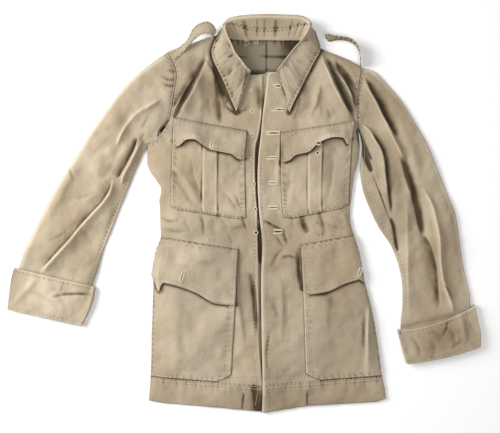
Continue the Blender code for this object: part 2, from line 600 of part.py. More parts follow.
def add_collar(fronts, colour):
    """The collar: a band up from the neck seam, a roll line and a leaf that falls outwards."""
    rows = catmull(np.array(COLLAR, float), steps((0, 18, 32)))
    seam, fold, rise, edge = rows[:, 0:2], rows[:, 2:4], rows[:, 4], rows[:, 5:7]
    drape = np.clip(rows[:, 7], 0, 1)[:, None]
    half = COLLAR_WALL / 2

    turns = np.linspace(0, 2 * np.pi, 9)[:, None]
    nearby = np.concatenate([np.zeros((1, 2)), COLLAR_CELL * np.hstack([np.cos(turns), np.sin(turns)])])

    def cloth_below(plan):
        """Highest front within one cell of the collar, so that its facets stay clear."""
        return np.max([front.height_at(plan + step) for front in fronts for step in nearby], axis=0)

    def support(plan):
        return np.maximum(cloth_below(plan), CLOTH) + SEAM_GAP + half

    out = (edge - fold) / np.linalg.norm(edge - fold, axis=1)[:, None] * drape
    out = out + (1 - drape) * np.array([0.0, 1.0])
    out /= np.linalg.norm(out, axis=1)[:, None]
    seam_z = support(seam) + COLLAR_EASE * drape[:, 0]
    fold_z = seam_z + rise
    edge_z = np.where(drape[:, 0] > 0.5, support(edge) + COLLAR_EASE, half + 0.1)
    roll = fold + out * 5
    roll_z = fold_z - np.minimum(5, 0.35 * rise)
    hang = fold + out * 2
    middle = hang * (1 - drape) + (roll + edge) / 2 * drape
    middle_z = 5 * (1 - drape[:, 0]) + ((roll_z + edge_z) / 2 + 1.5) * drape[:, 0]
    band = (seam + fold) / 2
    knots = np.stack([lifted(seam, seam_z), lifted(band, (seam_z + fold_z) / 2),
                      lifted(fold, fold_z), lifted(roll, roll_z), lifted(middle, middle_z),
                      lifted(edge, edge_z)])
    surface = catmull(knots, np.array([0, 1, 1.6, 2, 2.4, 3, 3.6, 4.3, 5]))
    over = support(surface[..., :2]) + COLLAR_EASE * 2
    on_fronts = cloth_below(surface[..., :2]) > 0
    surface[..., 2] = np.where(on_fronts, np.maximum(surface[..., 2], over), surface[..., 2])
    offset_wall("collar", surface, COLLAR_WALL, colour)


def add_strap(name, table, colour, lies_on_top):
    rows = catmull(np.array(table, float), steps((0, len(table) - 1, 2 * len(table))))
    share = np.linspace(0, 1, 4)[:, None, None]
    surface = rows[None, :, :3] * (1 - share) + rows[None, :, 3:] * share
    if lies_on_top:
        least = skin(surface[..., :2]) + CLOTH + SEAM_GAP + STRAP_WALL / 2
        surface[..., 2] = np.maximum(surface[..., 2], least)
    offset_wall(name, surface, STRAP_WALL, colour)


def build():
    for piece in list(bpy.data.objects):
        bpy.data.objects.remove(piece, do_unlink=True)

    right = Panel(RIGHT_FRONT, RIGHT_ACROSS, BODY_ROWS, right_underlap)
    left = Panel(LEFT_FRONT, LEFT_ACROSS, BODY_ROWS, left_overlap)
    add_front("front_right", right, KHAKI)
    add_front("front_left", left, KHAKI_PALE)

    back_rows = np.concatenate([ARM_ROWS[::2], steps((4.3, 5.0, 4), (5.0, 10.0, 10))])
    half_gap = np.array([0.0, SEAM_GAP / 2, 0.0])
    right_centre = [tuple(np.array(row) - half_gap) for row in BACK_CENTRE]
    left_centre = [tuple(np.array(row) + half_gap) for row in BACK_CENTRE]
    across = np.array([0.0, 1.0, 2.0])
    add_back("back_right", (RIGHT_SIDE, RIGHT_BACK_NECK, right_centre), across, back_rows, KHAKI_DARK)
    add_back("back_left", (left_centre, LEFT_BACK_NECK, LEFT_SIDE), across, back_rows, KHAKI_DARK)

    add_sleeve("sleeve_right", RIGHT_SLEEVE, RIGHT_SIDE, 10, -1, 9, KHAKI)
    add_sleeve("sleeve_left", LEFT_SLEEVE, LEFT_SIDE, 13, 1, None, KHAKI)
    add_cuff("cuff_right", RIGHT_CUFF, KHAKI_PALE)
    add_cuff("cuff_left", LEFT_CUFF, KHAKI_PALE)

    pocket_top = ARM_ROWS[8]
    breast = (1.0, 2.0, pocket_top, POCKET)
    add_pocket("breast_pocket_right", right, breast, KHAKI_PALE, ("left", "right"), (1.42, 1.62))
    add_pocket("breast_pocket_left", left, breast, KHAKI, ("left", "right"), (1.38, 1.58))
    add_pocket("hip_pocket_right", right, (0.0, 2.0, 7.25, HIP_POCKET), KHAKI_PALE, ("right",))
    add_pocket("hip_pocket_left", left, (1.0, 3.0, 7.25, HIP_POCKET), KHAKI, ("left",))
    add_flap("breast_flap_right", right, 1, 2, FLAP, RIGHT_BREAST_FLAP, KHAKI, PLEAT_RISE)
    add_flap("breast_flap_left", left, 1, 2, FLAP, LEFT_BREAST_FLAP, KHAKI_PALE, PLEAT_RISE)
    add_flap("hip_flap_right", right, 0, 2, HIP_FLAP, RIGHT_HIP_FLAP, KHAKI, 0.0)
    add_flap("hip_flap_left", left, 1, 3, HIP_FLAP, LEFT_HIP_FLAP, KHAKI_PALE, 0.0)

    add_collar((right, left), KHAKI_PALE)
    add_strap("shoulder_strap_right", RIGHT_STRAP, KHAKI_DARK, True)
    add_strap("shoulder_strap_left", LEFT_STRAP, KHAKI_DARK, False)


build()
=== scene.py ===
import math

import bmesh
import bpy
import mathutils
import numpy as np
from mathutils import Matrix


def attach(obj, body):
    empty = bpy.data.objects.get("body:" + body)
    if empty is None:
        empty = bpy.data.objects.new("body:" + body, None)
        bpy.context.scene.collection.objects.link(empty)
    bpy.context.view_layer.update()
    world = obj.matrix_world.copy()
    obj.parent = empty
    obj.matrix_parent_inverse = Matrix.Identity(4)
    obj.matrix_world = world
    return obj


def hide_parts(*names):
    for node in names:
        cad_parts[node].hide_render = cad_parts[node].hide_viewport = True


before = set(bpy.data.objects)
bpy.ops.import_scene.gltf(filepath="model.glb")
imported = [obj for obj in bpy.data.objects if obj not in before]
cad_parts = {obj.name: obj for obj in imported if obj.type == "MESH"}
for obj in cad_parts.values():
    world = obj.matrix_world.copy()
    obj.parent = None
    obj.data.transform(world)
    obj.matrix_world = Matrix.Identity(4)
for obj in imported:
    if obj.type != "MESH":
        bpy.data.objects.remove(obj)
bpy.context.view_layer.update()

bl_info = {
    "name": "Laid-out canvas jacket",
    "version": (1, 0, 0),
    "blender": (4, 5, 0),
    "location": "View3D > Sidebar > Jacket",
    "description": "Khaki drill bush jacket laid flat, as thin cloth with its folds and sewing",
    "category": "Add Mesh",
}

# Driving dimensions, in millimetres in the part's table frame
CLOTH = 1.5
SEAM_GAP = 0.3
LAYER = CLOTH + SEAM_GAP
PUFF = 6.0
PUFF_REACH = 34.0
LAP_LIFT = 2.4
LAP_WIDTH = 40.0
SHELL = 1.1
SEAM_SHADE = 0.34
PUCKER = 0.5
CENTRE = (-1.6, 3.3, 0.0)
RASTER_STEP = 1.25
STITCH_LENGTH = 2.4
STITCH_PITCH = 3.4
CUFF_CLEARANCE = 2.4
COLLAR_HALF = 1.2
STRAP_HALF = 1.1
POCKET_FULLNESS = 2.0
PLEAT_RISE = 1.5
DOUBLED = 1.8
NECK_X = 43

# Columns of the right front, (station, x, y) from shoulder to hem
RIGHT_SIDE = (
    (0.0, -154, 328), (0.5, -142, 306), (1.0, -135, 282), (2.0, -140, 248), (2.6, -146, 212),
    (3.0, -149, 196), (3.4, -156, 180), (3.7, -171, 160), (4.0, -194, 138), (4.3, -195, 108),
    (4.45, -190, 90), (4.65, -176, 70), (4.85, -167, 52), (5.0, -171, 32), (6.0, -170, 18),
    (6.5, -169, -12), (7.0, -168, -42), (7.35, -177, -68), (7.8, -184, -104), (8.0, -186, -118),
    (8.1, -183, -130), (8.5, -185, -208), (9.0, -188, -318), (10.0, -192, -368),
)
RIGHT_POCKET_OUT = (
    (0.0, -122, 340), (1.0, -112, 290), (2.0, -125, 252), (3.0, -141, 197), (4.0, -144, 132),
    (5.0, -148, 30), (6.0, -146, 15), (7.0, -144, -45), (8.0, -160, -122), (9.0, -162, -321),
    (10.0, -164, -373),
)
RIGHT_POCKET_IN = (
    (0.0, -68, 357), (1.0, -48, 300), (2.0, -22, 256), (2.4, -12, 228), (3.0, 3, 170),
    (4.0, -1, 108), (5.0, 1, 8), (6.0, 1, -7), (7.0, -13, -66), (8.0, -18, -146),
    (9.0, -29, -331), (10.0, -34, -384),
)
RIGHT_LIP = (
    (0.0, -48, 363), (1.0, -28, 308), (2.0, 4, 268), (2.2, 34, 281), (2.4, 34, 258),
    (2.7, 33, 212), (3.0, 27, 168), (3.5, 19, 136), (4.0, 18, 104), (4.5, 19, 60), (5.0, 23, 6),
    (6.0, 23, -9), (7.0, 25, -70), (8.0, 27, -154), (8.6, 27, -240), (9.0, 34, -336),
    (10.0, 28, -390),
)
RIGHT_EDGE = (
    (0.0, -38, 366), (0.5, -30, 342), (1.0, -18, 314), (1.6, 2, 286), (2.0, 20, 281),
    (2.2, 48, 285), (2.4, 48, 258), (3.0, 43, 165), (4.0, 35, 102), (5.0, 40, 3), (6.0, 40, -12),
    (7.0, 42, -73), (8.0, 44, -157), (9.0, 44, -338), (10.0, 38, -391),
)
# Columns of the left front, from the opening to the side
LEFT_EDGE = (
    (0.0, 121, 352), (0.5, 112, 334), (1.0, 102, 316), (2.0, 74, 288), (2.2, 46, 286),
    (2.4, 43, 262), (2.7, 36, 208), (3.0, 32, 164), (4.0, 27, 118), (4.5, 25, 72), (5.0, 28, 10),
    (6.0, 30, -10), (7.0, 34, -64), (8.0, 32, -148), (9.0, 35, -334), (10.0, 34, -393),
)
LEFT_POCKET_IN = (
    (0.0, 140, 338), (1.0, 120, 288), (2.0, 94, 232), (2.4, 86, 212), (3.0, 72, 167),
    (4.0, 72, 112), (5.0, 75, 16), (6.0, 80, -7), (7.0, 110, -57), (8.0, 116, -142),
    (9.0, 122, -328), (10.0, 124, -379),
)
LEFT_POCKET_OUT = (
    (0.0, 210, 310), (1.0, 208, 266), (2.0, 212, 226), (3.0, 218, 190), (4.0, 213, 158),
    (5.0, 207, 34), (6.0, 207, 19), (7.0, 204, -40), (8.0, 224, -129), (9.0, 256, -318),
    (10.0, 262, -371),
)
LEFT_SIDE = (
    (0.0, 232, 296), (0.5, 230, 282), (1.0, 226, 260), (2.0, 223, 228), (3.0, 224, 192),
    (4.0, 226, 170), (4.3, 229, 138), (4.5, 227, 112), (4.7, 218, 80), (5.0, 212, 34),
    (6.0, 210, 20), (6.3, 209, 0), (6.6, 212, -20), (7.0, 217, -37), (7.5, 229, -78),
    (8.0, 238, -126), (8.5, 251, -178), (8.8, 264, -248), (9.0, 273, -317), (9.6, 279, -346),
    (10.0, 281, -364),
)
# Columns of the two back halves, from the side to the centre seam
RIGHT_BACK_NECK = (
    (0.0, -38, 362), (1.0, -60, 300), (3.0, -60, 186), (5.0, -60, 22), (8.0, -70, -130),
    (10.0, -70, -378),
)
BACK_CENTRE = (
    (0.0, 43, 356), (1.0, 43, 290), (3.0, 43, 176), (5.0, 43, 10), (8.0, 43, -150),
    (10.0, 43, -389),
)
LEFT_BACK_NECK = (
    (0.0, 121, 350), (1.0, 140, 290), (3.0, 140, 182), (5.0, 140, 20), (8.0, 150, -130),
    (10.0, 150, -374),
)
# Sleeve rings: the under end at the inner edge, the over end at the outer edge
RIGHT_SLEEVE = (
    # under_x, under_y, over_x, over_y
    (-194, 138, -154, 328), (-198, 132, -190, 303), (-204, 124, -230, 268), (-209, 112, -270, 219),
    (-217, 94, -306, 168), (-231, 60, -333, 126), (-249, 16, -362, 82), (-266, -28, -390, 32),
    (-282, -68, -414, -16), (-295, -112, -439, -66), (-306, -142, -452, -107),
    (-320, -184, -460, -150), (-334, -210, -464, -178),
)
LEFT_SLEEVE = (
    (226, 170, 232, 296), (230, 162, 256, 290), (232, 152, 282, 265), (234, 136, 312, 230),
    (233, 116, 341, 184), (230, 92, 365, 142), (235, 54, 385, 94), (248, 18, 403, 48),
    (268, -24, 422, -2), (292, -60, 429, -48), (306, -96, 435, -92), (314, -136, 444, -136),
    (315, -170, 449, -158), (311, -222, 450, -186), (319, -250, 454, -212),
    (330, -279, 459, -248),
)
# Cuff rings, the same columns and how far the ring's middle bows towards the hand
RIGHT_CUFF = (
    (-298, -141, -461, -103, 0), (-301, -160, -467, -126, 0), (-309, -186, -472, -162, 0),
    (-325, -219, -474, -186, 0),
)
LEFT_CUFF = (
    (304, -227, 459, -177, 11), (309, -246, 465, -206, 7), (315, -270, 471, -236, 5),
    (322, -294, 470, -261, 5),
)
# Folds of the top layer: a curve through three points, its width to the left and right of its
# direction, its height (below zero for a hollow), and how much shade is painted in it (below zero: a
# painted highlight)
FOLDS = (
    # x0, y0, x1, y1, x2, y2, left, right, height, painted shade
    # creases of the waist, chest, hip and cuffs
    (-168, 0, -150, -10, -128, -8, 2.5, 5, -2, 0.45), (-166, -24, -140, -30, -112, -28, 2, 5, -2, 0.4),
    (-60, 2, -40, -14, -34, -34, 2, 5, -2, 0.35), (-120, -6, -112, -22, -108, -40, 2, 5, -1.5, 0.3),
    (-44, -14, -20, -18, 0, -14, 3, 6, 3, 0.1), (150, 6, 180, -8, 204, -10, 3, 6, 3, 0.15),
    (160, -14, 184, -22, 206, -24, 2, 5, -2, 0.35), (90, 2, 96, -12, 94, -28, 2, 5, -1.5, 0.3),
    (-140, -62, -100, -82, -60, -86, 3, 8, 3, 0.1), (-150, -90, -120, -100, -96, -98, 2, 5, -1.5, 0.3),
    (-90, 320, -60, 276, -44, 216, 3, 8, 4, 0.2), (-30, 250, -34, 232, -44, 210, 2, 6, -2, 0.4),
    (104, 250, 104, 222, 92, 190, 3, 8, 3.5, 0.15), (150, 268, 144, 230, 128, 196, 3, 8, 3.5, 0.2),
    (-106, 116, -98, 70, -76, 22, 2, 7, -2, 0.35), (-40, 46, -26, 28, -14, 14, 2, 6, -2, 0.4),
    (90, 96, 88, 60, 80, 24, 3, 7, -1.5, 0.25), (178, 120, 172, 70, 164, 24, 3, 7, -1.5, 0.25),
    (-430, -150, -400, -160, -370, -182, 2, 6, -1.5, 0.3),
    (-380, -140, -366, -160, -350, -196, 2, 6, -1.5, 0.3),
    (330, -240, 344, -260, 350, -284, 3, 6, -2, 0.4), (366, -246, 378, -262, 372, -284, 2, 6, -2, 0.45),
    (404, -222, 416, -238, 418, -262, 2, 6, -2, 0.4), (440, -206, 452, -222, 456, -246, 2, 6, -2, 0.35),
    (170, -150, 160, -200, 166, -260, 8, 16, 3, 0.12), (-130, -170, -136, -230, -128, -290, 8, 16, 3, 0.08),
    (-20, -120, -8, -200, -2, -260, 3, 8, 3, 0.2), (70, -120, 76, -180, 72, -250, 3, 8, 2.5, 0.15),
    # right front and shoulder
    (-70, 322, -108, 244, -140, 196, 17, 5, 12, 0),
    (-78, 306, -122, 228, -142, 196, 5, 5, -4, 0.9),
    (-90, 302, -114, 264, -142, 208, 7, 10, 7, 0),
    (-54, 302, -50, 268, -48, 230, 13, 12, -5, 0.95),
    (-52, 244, -51, 214, -48, 182, 4, 4, -3, 0.75),
    (-42, 226, -18, 205, 10, 222, 2.5, 2.5, -2, 0.7),
    (26, 262, 29, 236, 30, 208, 7, 7, -2, 0.6),
    (-88, 262, -90, 226, -84, 200, 9, 9, 3, 0),
    (-70, 250, -72, 220, -66, 196, 4, 4, -1, 0.3),
    (-142, 104, -114, 64, -88, 18, 8, 8, 4, 0),
    (-146, 92, -124, 52, -98, 16, 5, 5, -1, 0.4),
    (-38, 124, -34, 92, -38, 58, 8, 8, 0, 0.3),
    (-20, 44, -14, 28, -10, 16, 2, 2, -1, 0.5),
    (-88, 2, -83, -16, -82, -42, 3, 3, -2, 0.55),
    (-6, -2, -2, -16, 3, -28, 2.5, 2.5, -1, 0.7),
    (-30, -40, -27, -50, -24, -58, 2, 2, -1, 0.4),
    (-150, 12, -110, -20, -60, -34, 10, 14, 3, 0),
    (10, -112, 19, -168, 26, -246, 5, 5, -4, 0.85),
    (24, -100, 25, -168, 28, -240, 2.4, 2.4, 4, -0.5),
    (29, -22, 31, -58, 28, -96, 6, 6, -1, 0.6),
    (14, -330, 22, -366, 26, -392, 5, 5, -2, 0.7),
    (-4, -352, -4, -368, -6, -388, 1.6, 1.6, -1, 0.95),
    (-150, -170, -110, -240, -60, -300, 40, 40, 3, 0),
    (-60, -170, -80, -230, -100, -280, 12, 12, 1.5, 0),
    # left front and shoulder
    (150, 330, 178, 256, 216, 192, 5, 17, 12, 0),
    (163, 310, 193, 246, 219, 190, 5, 5, -4, 0.85),
    (166, 302, 196, 268, 217, 230, 4, 5, 8, 0),
    (176, 306, 200, 280, 220, 244, 8, 8, -3, 0.8),
    (120, 262, 126, 232, 112, 192, 12, 12, -1, 0.3),
    (138, 250, 146, 220, 150, 196, 5, 8, 2, 0.1),
    (162, 214, 168, 204, 170, 194, 3, 3, -1, 0.35),
    (114, 2, 118, -18, 127, -34, 6, 6, -4, 0.8),
    (146, 10, 154, -12, 160, -42, 4, 4, -2, 0.55),
    (38, -8, 58, -20, 84, -31, 3, 3, -3, 0.7),
    (76, -30, 80, -44, 85, -58, 3, 3, -2, 0.65),
    (60, -36, 68, -50, 80, -66, 3, 3, -1, 0.45),
    (78, -64, 62, -80, 50, -106, 3, 3, -1, 0.45),
    (70, -86, 90, -80, 106, -90, 3, 4, -1, 0.6),
    (107, -62, 107, -104, 113, -150, 4, 4, -3, 0.9),
    (56, -166, 62, -192, 66, -204, 4, 4, -1, 0.4),
    (52, -226, 43, -268, 46, -308, 3, 3, -2, 0.5),
    (124, -346, 124, -362, 123, -380, 1.6, 1.6, -1, 0.8),
    (247, -176, 243, -238, 243, -322, 12, 4, 7, 0),
    (238, -190, 236, -228, 236, -276, 3, 3, -2, 0.7),
    (152, -146, 166, -164, 184, -184, 10, 10, -1, 0.35),
    (120, -180, 150, -240, 200, -300, 40, 40, 3, 0),
    (196, 8, 204, -12, 214, -34, 6, 6, 3, 0),
    (74, 150, 68, 110, 66, 60, 5, 5, 3, 0),
    (72, 150, 71, 120, 70, 96, 2, 2, 0, 0.9),
    # right sleeve
    (-168, 282, -156, 273, -140, 272, 3, 3, -1.5, 0.6),
    (-166, 268, -154, 260, -140, 260, 2.5, 2.5, -1.5, 0.6),
    (-158, 294, -148, 288, -138, 288, 2, 2, -1, 0.5),
    (-168, 256, -156, 248, -142, 248, 3, 3, 1.5, 0),
    (-190, 204, -198, 186, -206, 170, 3, 3, -1, 0.4),
    (-198, 168, -208, 150, -214, 136, 2, 4, -1, 0.5),
    (-352, 100, -346, 84, -338, 68, 3, 3, -1.5, 0.4),
    (-294, 48, -314, 40, -336, 32, 2, 5, -1, 0.35),
    (-392, -48, -370, -40, -352, -22, 2, 4, -1, 0.3),
    (-214, 284, -180, 262, -158, 246, 12, 12, -1, 0.2),
    (-330, 110, -360, 60, -396, -10, 10, 14, 4, 0),
    (-246, 40, -268, -10, -292, -70, 4, 4, -2, 0.25),
    (-300, -64, -316, -40, -330, -20, 3, 5, -1, 0.3),
    # left sleeve
    (322, 54, 322, -78, 326, -208, 10, 12, 5, 0),
    (394, -138, 404, -148, 414, -172, 2.5, 2.5, -1, 0.6),
    (300, 190, 330, 130, 350, 60, 12, 10, 3, 0),
    (400, 40, 412, -20, 420, -90, 12, 12, 3, 0),
    (256, 282, 276, 268, 296, 240, 4, 4, 2, 0),
    (398, 30, 404, 20, 402, 4, 2, 3, -1, 0.3),
    (424, 10, 414, -4, 424, -24, 2, 3, -1, 0.3),
    # cuffs
    (-386, -162, -346, -155, -300, -157, 3, 3, -2, 0.65),
    (-360, -132, -364, -144, -366, -154, 2.5, 2.5, -1, 0.5),
    (-410, -120, -434, -146, -468, -182, 7, 6, 3, -0.2),
    (404, -206, 400, -224, 391, -240, 2.5, 2.5, -1.5, 0.6),
    (362, -236, 376, -232, 392, -246, 4, 4, -1, 0.4),
    (426, -190, 434, -218, 441, -250, 6, 6, 3, -0.2),
    (408, -266, 420, -256, 434, -248, 2, 2, -1, 0.5),
)
# Flap lower edges: share of the top seam, length of the flap there, lift of its edge
RIGHT_BREAST_FLAP = (
    (0.0, 50, 2), (0.06, 58, 3), (0.2, 42, 9), (0.3, 39, 11), (0.42, 46, 6), (0.55, 53, 3),
    (0.8, 53, 2), (0.93, 60, 3), (1.0, 57, 2),
)
LEFT_BREAST_FLAP = (
    (0.0, 59, 2), (0.12, 57, 3), (0.2, 51, 3), (0.38, 48, 5), (0.53, 35, 10), (0.7, 30, 13),
    (0.86, 33, 13), (0.94, 39, 9), (1.0, 34, 5),
)
RIGHT_HIP_FLAP = (
    (0.0, 78, 1), (0.15, 90, 2), (0.27, 94, 5), (0.37, 88, 4), (0.5, 85, 3), (0.7, 89, 2),
    (0.88, 97, 3), (1.0, 96, 3),
)
LEFT_HIP_FLAP = (
    (0.0, 88, 6), (0.06, 95, 4), (0.2, 96, 3), (0.4, 91, 3), (0.6, 89, 4), (0.8, 93, 3),
    (0.92, 96, 2), (1.0, 88, 1),
)
# Collar sections from the right front corner round the back to the left one. The seam is where
# the band is sewn on, the fold is the roll line, the edge is the leaf's free edge. The drape is
# 1 where the leaf lies on the front, 0 where it falls behind the neck.
COLLAR = (
    # seam_x, seam_y, fold_x, fold_y, fold_rise, edge_x, edge_y, drape
    (8, 277, 11, 288, 6, -17, 208, 1), (-6, 290, 2, 296, 9, -29, 236, 1),
    (-17, 306, -9, 310, 13, -45, 274, 1), (-27, 326, -20, 324, 17, -60, 304, 1),
    (-34, 344, -28, 342, 21, -66, 328, 1), (-32, 355, -37, 362, 24, -56, 356, 0.7),
    (-22, 356, -38, 379, 25, -47, 373, 0.3), (-8, 356, -24, 388, 26, -26, 378, 0),
    (14, 356, 10, 392, 27, 10, 366, 0), (43, 356, 43, 393, 27, 43, 364, 0),
    (74, 356, 78, 392, 27, 78, 366, 0), (98, 356, 111, 390, 26, 111, 376, 0),
    (112, 354, 127, 380, 25, 135, 373, 0.3), (116, 349, 123, 364, 24, 144, 356, 0.7),
    (115, 336, 113, 348, 21, 150, 332, 1), (106, 320, 98, 332, 17, 136, 304, 1),
    (94, 304, 82, 312, 13, 118, 268, 1), (82, 290, 71, 297, 9, 101, 234, 1),
    (66, 279, 63, 288, 6, 88, 206, 1),
)
# Shoulder straps: both edges of each section, from the sleeve seam to the tip
RIGHT_STRAP = (
    # x, y, z of the outer edge, then of the inner edge
    (-148, 324, 3, -140, 310, 3), (-130, 337, 9, -124, 324, 11), (-114, 350, 17, -110, 339, 20),
    (-103, 370, 24, -96, 351, 24), (-90, 380, 28, -84, 358, 27), (-74, 384, 28, -70, 358, 27),
    (-62, 377, 24, -64, 354, 23), (-56, 366, 20, -66, 350, 20),
)
LEFT_STRAP = (
    (231, 297.6, 1, 229, 298, 18), (231, 310, 1.4, 228, 310, 26), (229, 326, 1.4, 226, 326, 27),
    (221, 341, 1.4, 219, 342, 27), (208, 349, 1.4, 207, 351, 27), (192, 352, 1.4, 192, 354, 27),
    (178, 351, 1.4, 177, 357, 25), (168, 349, 1.6, 166, 361, 21), (161, 356, 5, 160, 361, 15),
)
# Darts below the breast pockets
RIGHT_DARTS = (((-63, 0), (-66, -18), (-78, -48)), ((-57, 0), (-60, -18), (-72, -48)))
LEFT_DARTS = (((134, 0), (141, -16), (148, -38)), ((140, 0), (147, -16), (154, -38)))
# Broad tones of the cloth, partly its own uneven colour and partly painted light and shade: x, y,
# half width, half height, turn, and how much paler it is
TONES = (
    (-300, 60, 60, 170, -35, 0.16), (-400, -165, 60, 40, 0, 0.25), (320, 60, 70, 190, 20, -0.22),
    (392, -238, 60, 30, 15, -0.5), (-60, 240, 40, 50, 0, -0.45), (-110, 290, 40, 40, 0, -0.25),
    (200, 250, 40, 70, 20, -0.3), (100, 230, 60, 60, 0, -0.18), (0, -370, 190, 26, 0, -0.35),
    (190, -230, 60, 90, 0, -0.20), (-100, -240, 60, 80, 0, 0.10), (60, -260, 26, 110, 0, -0.2),
    (240, 320, 60, 34, -20, -0.35), (20, -20, 160, 24, 0, -0.2), (60, 150, 30, 130, 0, 0.10),
    (300, 240, 50, 60, 30, -0.10), (256, 288, 24, 12, -38, 0.7), (300, 70, 16, 90, 12, -0.2),
    (380, 60, 20, 130, 8, 0.18), (-40, 160, 50, 60, 0, -0.12),
)
# Long valleys and ridges of the sleeves and the underarm: width to the left and right of the
# direction, height, how much shade is painted in it, then the points that the fold runs through
VALLEYS = (
    (2, 13, -4, 0.85, (-76, 318), (-90, 292), (-106, 262), (-122, 232), (-136, 204)),
    (9, 2, -3, 0.8, (-50, 300), (-46, 268), (-42, 236)),
    (2, 9, -3, 0.7, (-92, 296), (-112, 268), (-130, 240), (-142, 214)),
    (13, 2, -4, 0.8, (162, 316), (174, 290), (186, 260), (202, 226), (216, 198)),
    (10, 2, -3, 0.7, (178, 312), (196, 280), (212, 246), (222, 214)),
    (2, 7, -2, 0.5, (-56, 236), (-52, 212), (-50, 190)),
    (13, 2, -5, 0.95, (240, 276), (250, 254), (262, 232), (272, 212), (282, 192), (294, 172), (304, 154)),
    (11, 8, -6, 0.85, (308, 124), (318, 100), (327, 72), (337, 44), (345, 14), (350, -16), (356, -44)),
    (3, 13, -5, 0.62, (352, -30), (368, -60), (378, -92), (382, -120), (384, -150), (388, -186)),
    (9, 2.5, 9, 0, (352, 60), (370, 22), (378, -6), (384, -40), (388, -92), (394, -130), (408, -172),
     (416, -192)),
    (3, 11, 9, 0, (236, 280), (246, 250), (258, 230), (270, 206), (282, 184), (296, 154), (308, 130),
     (322, 92), (332, 52), (336, 30)),
    (7, 3, -4, 0.85, (250, 176), (262, 153), (273, 134), (280, 112), (282, 84), (286, 56), (290, 26),
     (292, 2)),
    (3, 8, 8, 0, (234, 184), (248, 170), (258, 152), (270, 132), (276, 104), (280, 70), (284, 40)),
    (6, 6, -4, 0.98, (224, 178), (229, 156), (236, 130), (246, 104), (254, 84)),
    (1.6, 1.6, -1, 0.75, (250, 90), (264, 58), (276, 26), (284, 4), (292, -14)),
    (5, 4, -4, 0.92, (290, -2), (297, -24), (301, -50), (305, -72)),
    (4, 4, -2, 0.7, (232, 160), (242, 134), (254, 110)),
    (1.5, 14, -3, 0.42, (-268, 78), (-270, 56), (-284, 32), (-306, 8), (-330, -18), (-354, -48),
     (-376, -72), (-394, -92), (-408, -108)),
    (1.4, 2.2, -2, 0.9, (-266, 84), (-268, 60), (-284, 33), (-306, 9), (-330, -17), (-354, -47),
     (-376, -71), (-394, -91), (-410, -110)),
    (14, 2, 9, 0, (-264, 74), (-268, 48), (-282, 27), (-304, 3), (-328, -23), (-352, -53),
     (-374, -77), (-392, -97), (-408, -114)),
    (2.2, 8, -4, 0.8, (-214, 158), (-222, 134), (-234, 112), (-246, 90), (-254, 74)),
    (7, 2.2, 8, 0, (-204, 156), (-216, 130), (-228, 106), (-240, 84), (-246, 64)),
    (9, 12, -2, 0.3, (-244, 146), (-262, 118), (-276, 90), (-284, 74)),
    (14, 16, -1, 0.2, (-172, 276), (-214, 236), (-252, 184), (-282, 124)),
    (9, 2.4, 6, 0, (-166, 234), (-190, 219), (-212, 207), (-232, 186), (-246, 162), (-256, 140)),
)
# Buttonholes on the left front: middle x, middle y, length, turn in degrees, how far open
BUTTONHOLES = (
    (64, 259, 16, 3, 0.6), (64, 212, 26, -2, 0.3), (56, 165, 26, 1, 0.5), (51, 116, 23, 0, 0.1),
    (51, 66, 28, 0, 0.15), (52, 17, 27, 0, 0.2), (61, -31, 26, 0, 1.0),
)
# Buttonholes on the flaps, in the same columns
FLAP_HOLES = ((-125, -121, 20, 72, 0.2), (227.5, -113, 22, 72, 0.15), (-66, 140, 12, 85, 0.2),
              (145, 144, 8, 0, 1.0))
# Eyelets on the right front: x, y, radius
EYELETS = (
    (12, 250, 1.3), (14, 209, 1.8), (15, 161, 1.8), (16, 114, 1.9), (18, 64, 1.9), (21, 14, 1.9),
    (22, -33, 3.0), (144, 125, 2.6),
)
# Random wrinkles of the cloth: size of the bumps and their height
WRINKLES = ((60, 2.0), (34, 1.5), (19, 0.8), (11, 0.4), (5.5, 0.14))


class JacketLooks(bpy.types.PropertyGroup):
    """Sizes and colours that a user may change."""
    pale: bpy.props.FloatVectorProperty(name="Pale khaki", subtype="COLOR", default=(0.47, 0.395, 0.29))
    mid: bpy.props.FloatVectorProperty(name="Khaki", subtype="COLOR", default=(0.355, 0.28, 0.185))
    cool: bpy.props.FloatVectorProperty(name="Grey khaki", subtype="COLOR", default=(0.325, 0.285, 0.21))
    # The colour that the painted shade in folds and hollows goes to; also the colour of the fine dark
    # flecks
    shade: bpy.props.FloatVectorProperty(name="In the folds", subtype="COLOR",
                                         default=(0.060, 0.038, 0.020))
    thread: bpy.props.FloatVectorProperty(name="Thread", subtype="COLOR", default=(0.74, 0.69, 0.55))
    weave: bpy.props.FloatProperty(name="Twill pitch, m", default=0.0011)


def pchip(stations, values, at):
    """Smooth curve through values that never swings past them."""
    x = np.asarray(stations, float)
    y = np.asarray(values, float)
    at = np.clip(at, x[0], x[-1])
    step = np.diff(x)
    slope = np.diff(y) / step
    tangent = np.concatenate(([slope[0]], np.zeros(len(x) - 2), [slope[-1]]))
    same = slope[:-1] * slope[1:] > 0
    w0 = 2 * step[1:] + step[:-1]
    w1 = step[1:] + 2 * step[:-1]
    safe0 = np.where(same, slope[:-1], 1.0)
    safe1 = np.where(same, slope[1:], 1.0)
    tangent[1:-1] = np.where(same, (w0 + w1) / (w0 / safe0 + w1 / safe1), 0.0)
    i = np.clip(np.searchsorted(x, at, side="right") - 1, 0, len(x) - 2)
    t = (at - x[i]) / step[i]
    return ((2 * t**3 - 3 * t**2 + 1) * y[i] + (t**3 - 2 * t**2 + t) * step[i] * tangent[i]
            + (3 * t**2 - 2 * t**3) * y[i + 1] + (t**3 - t**2) * step[i] * tangent[i + 1])


def column(table, at):
    """Points of one column of a panel at the given stations."""
    rows = np.array(table, float)
    return np.stack([pchip(rows[:, 0], rows[:, k], at) for k in range(1, rows.shape[1])], -1)


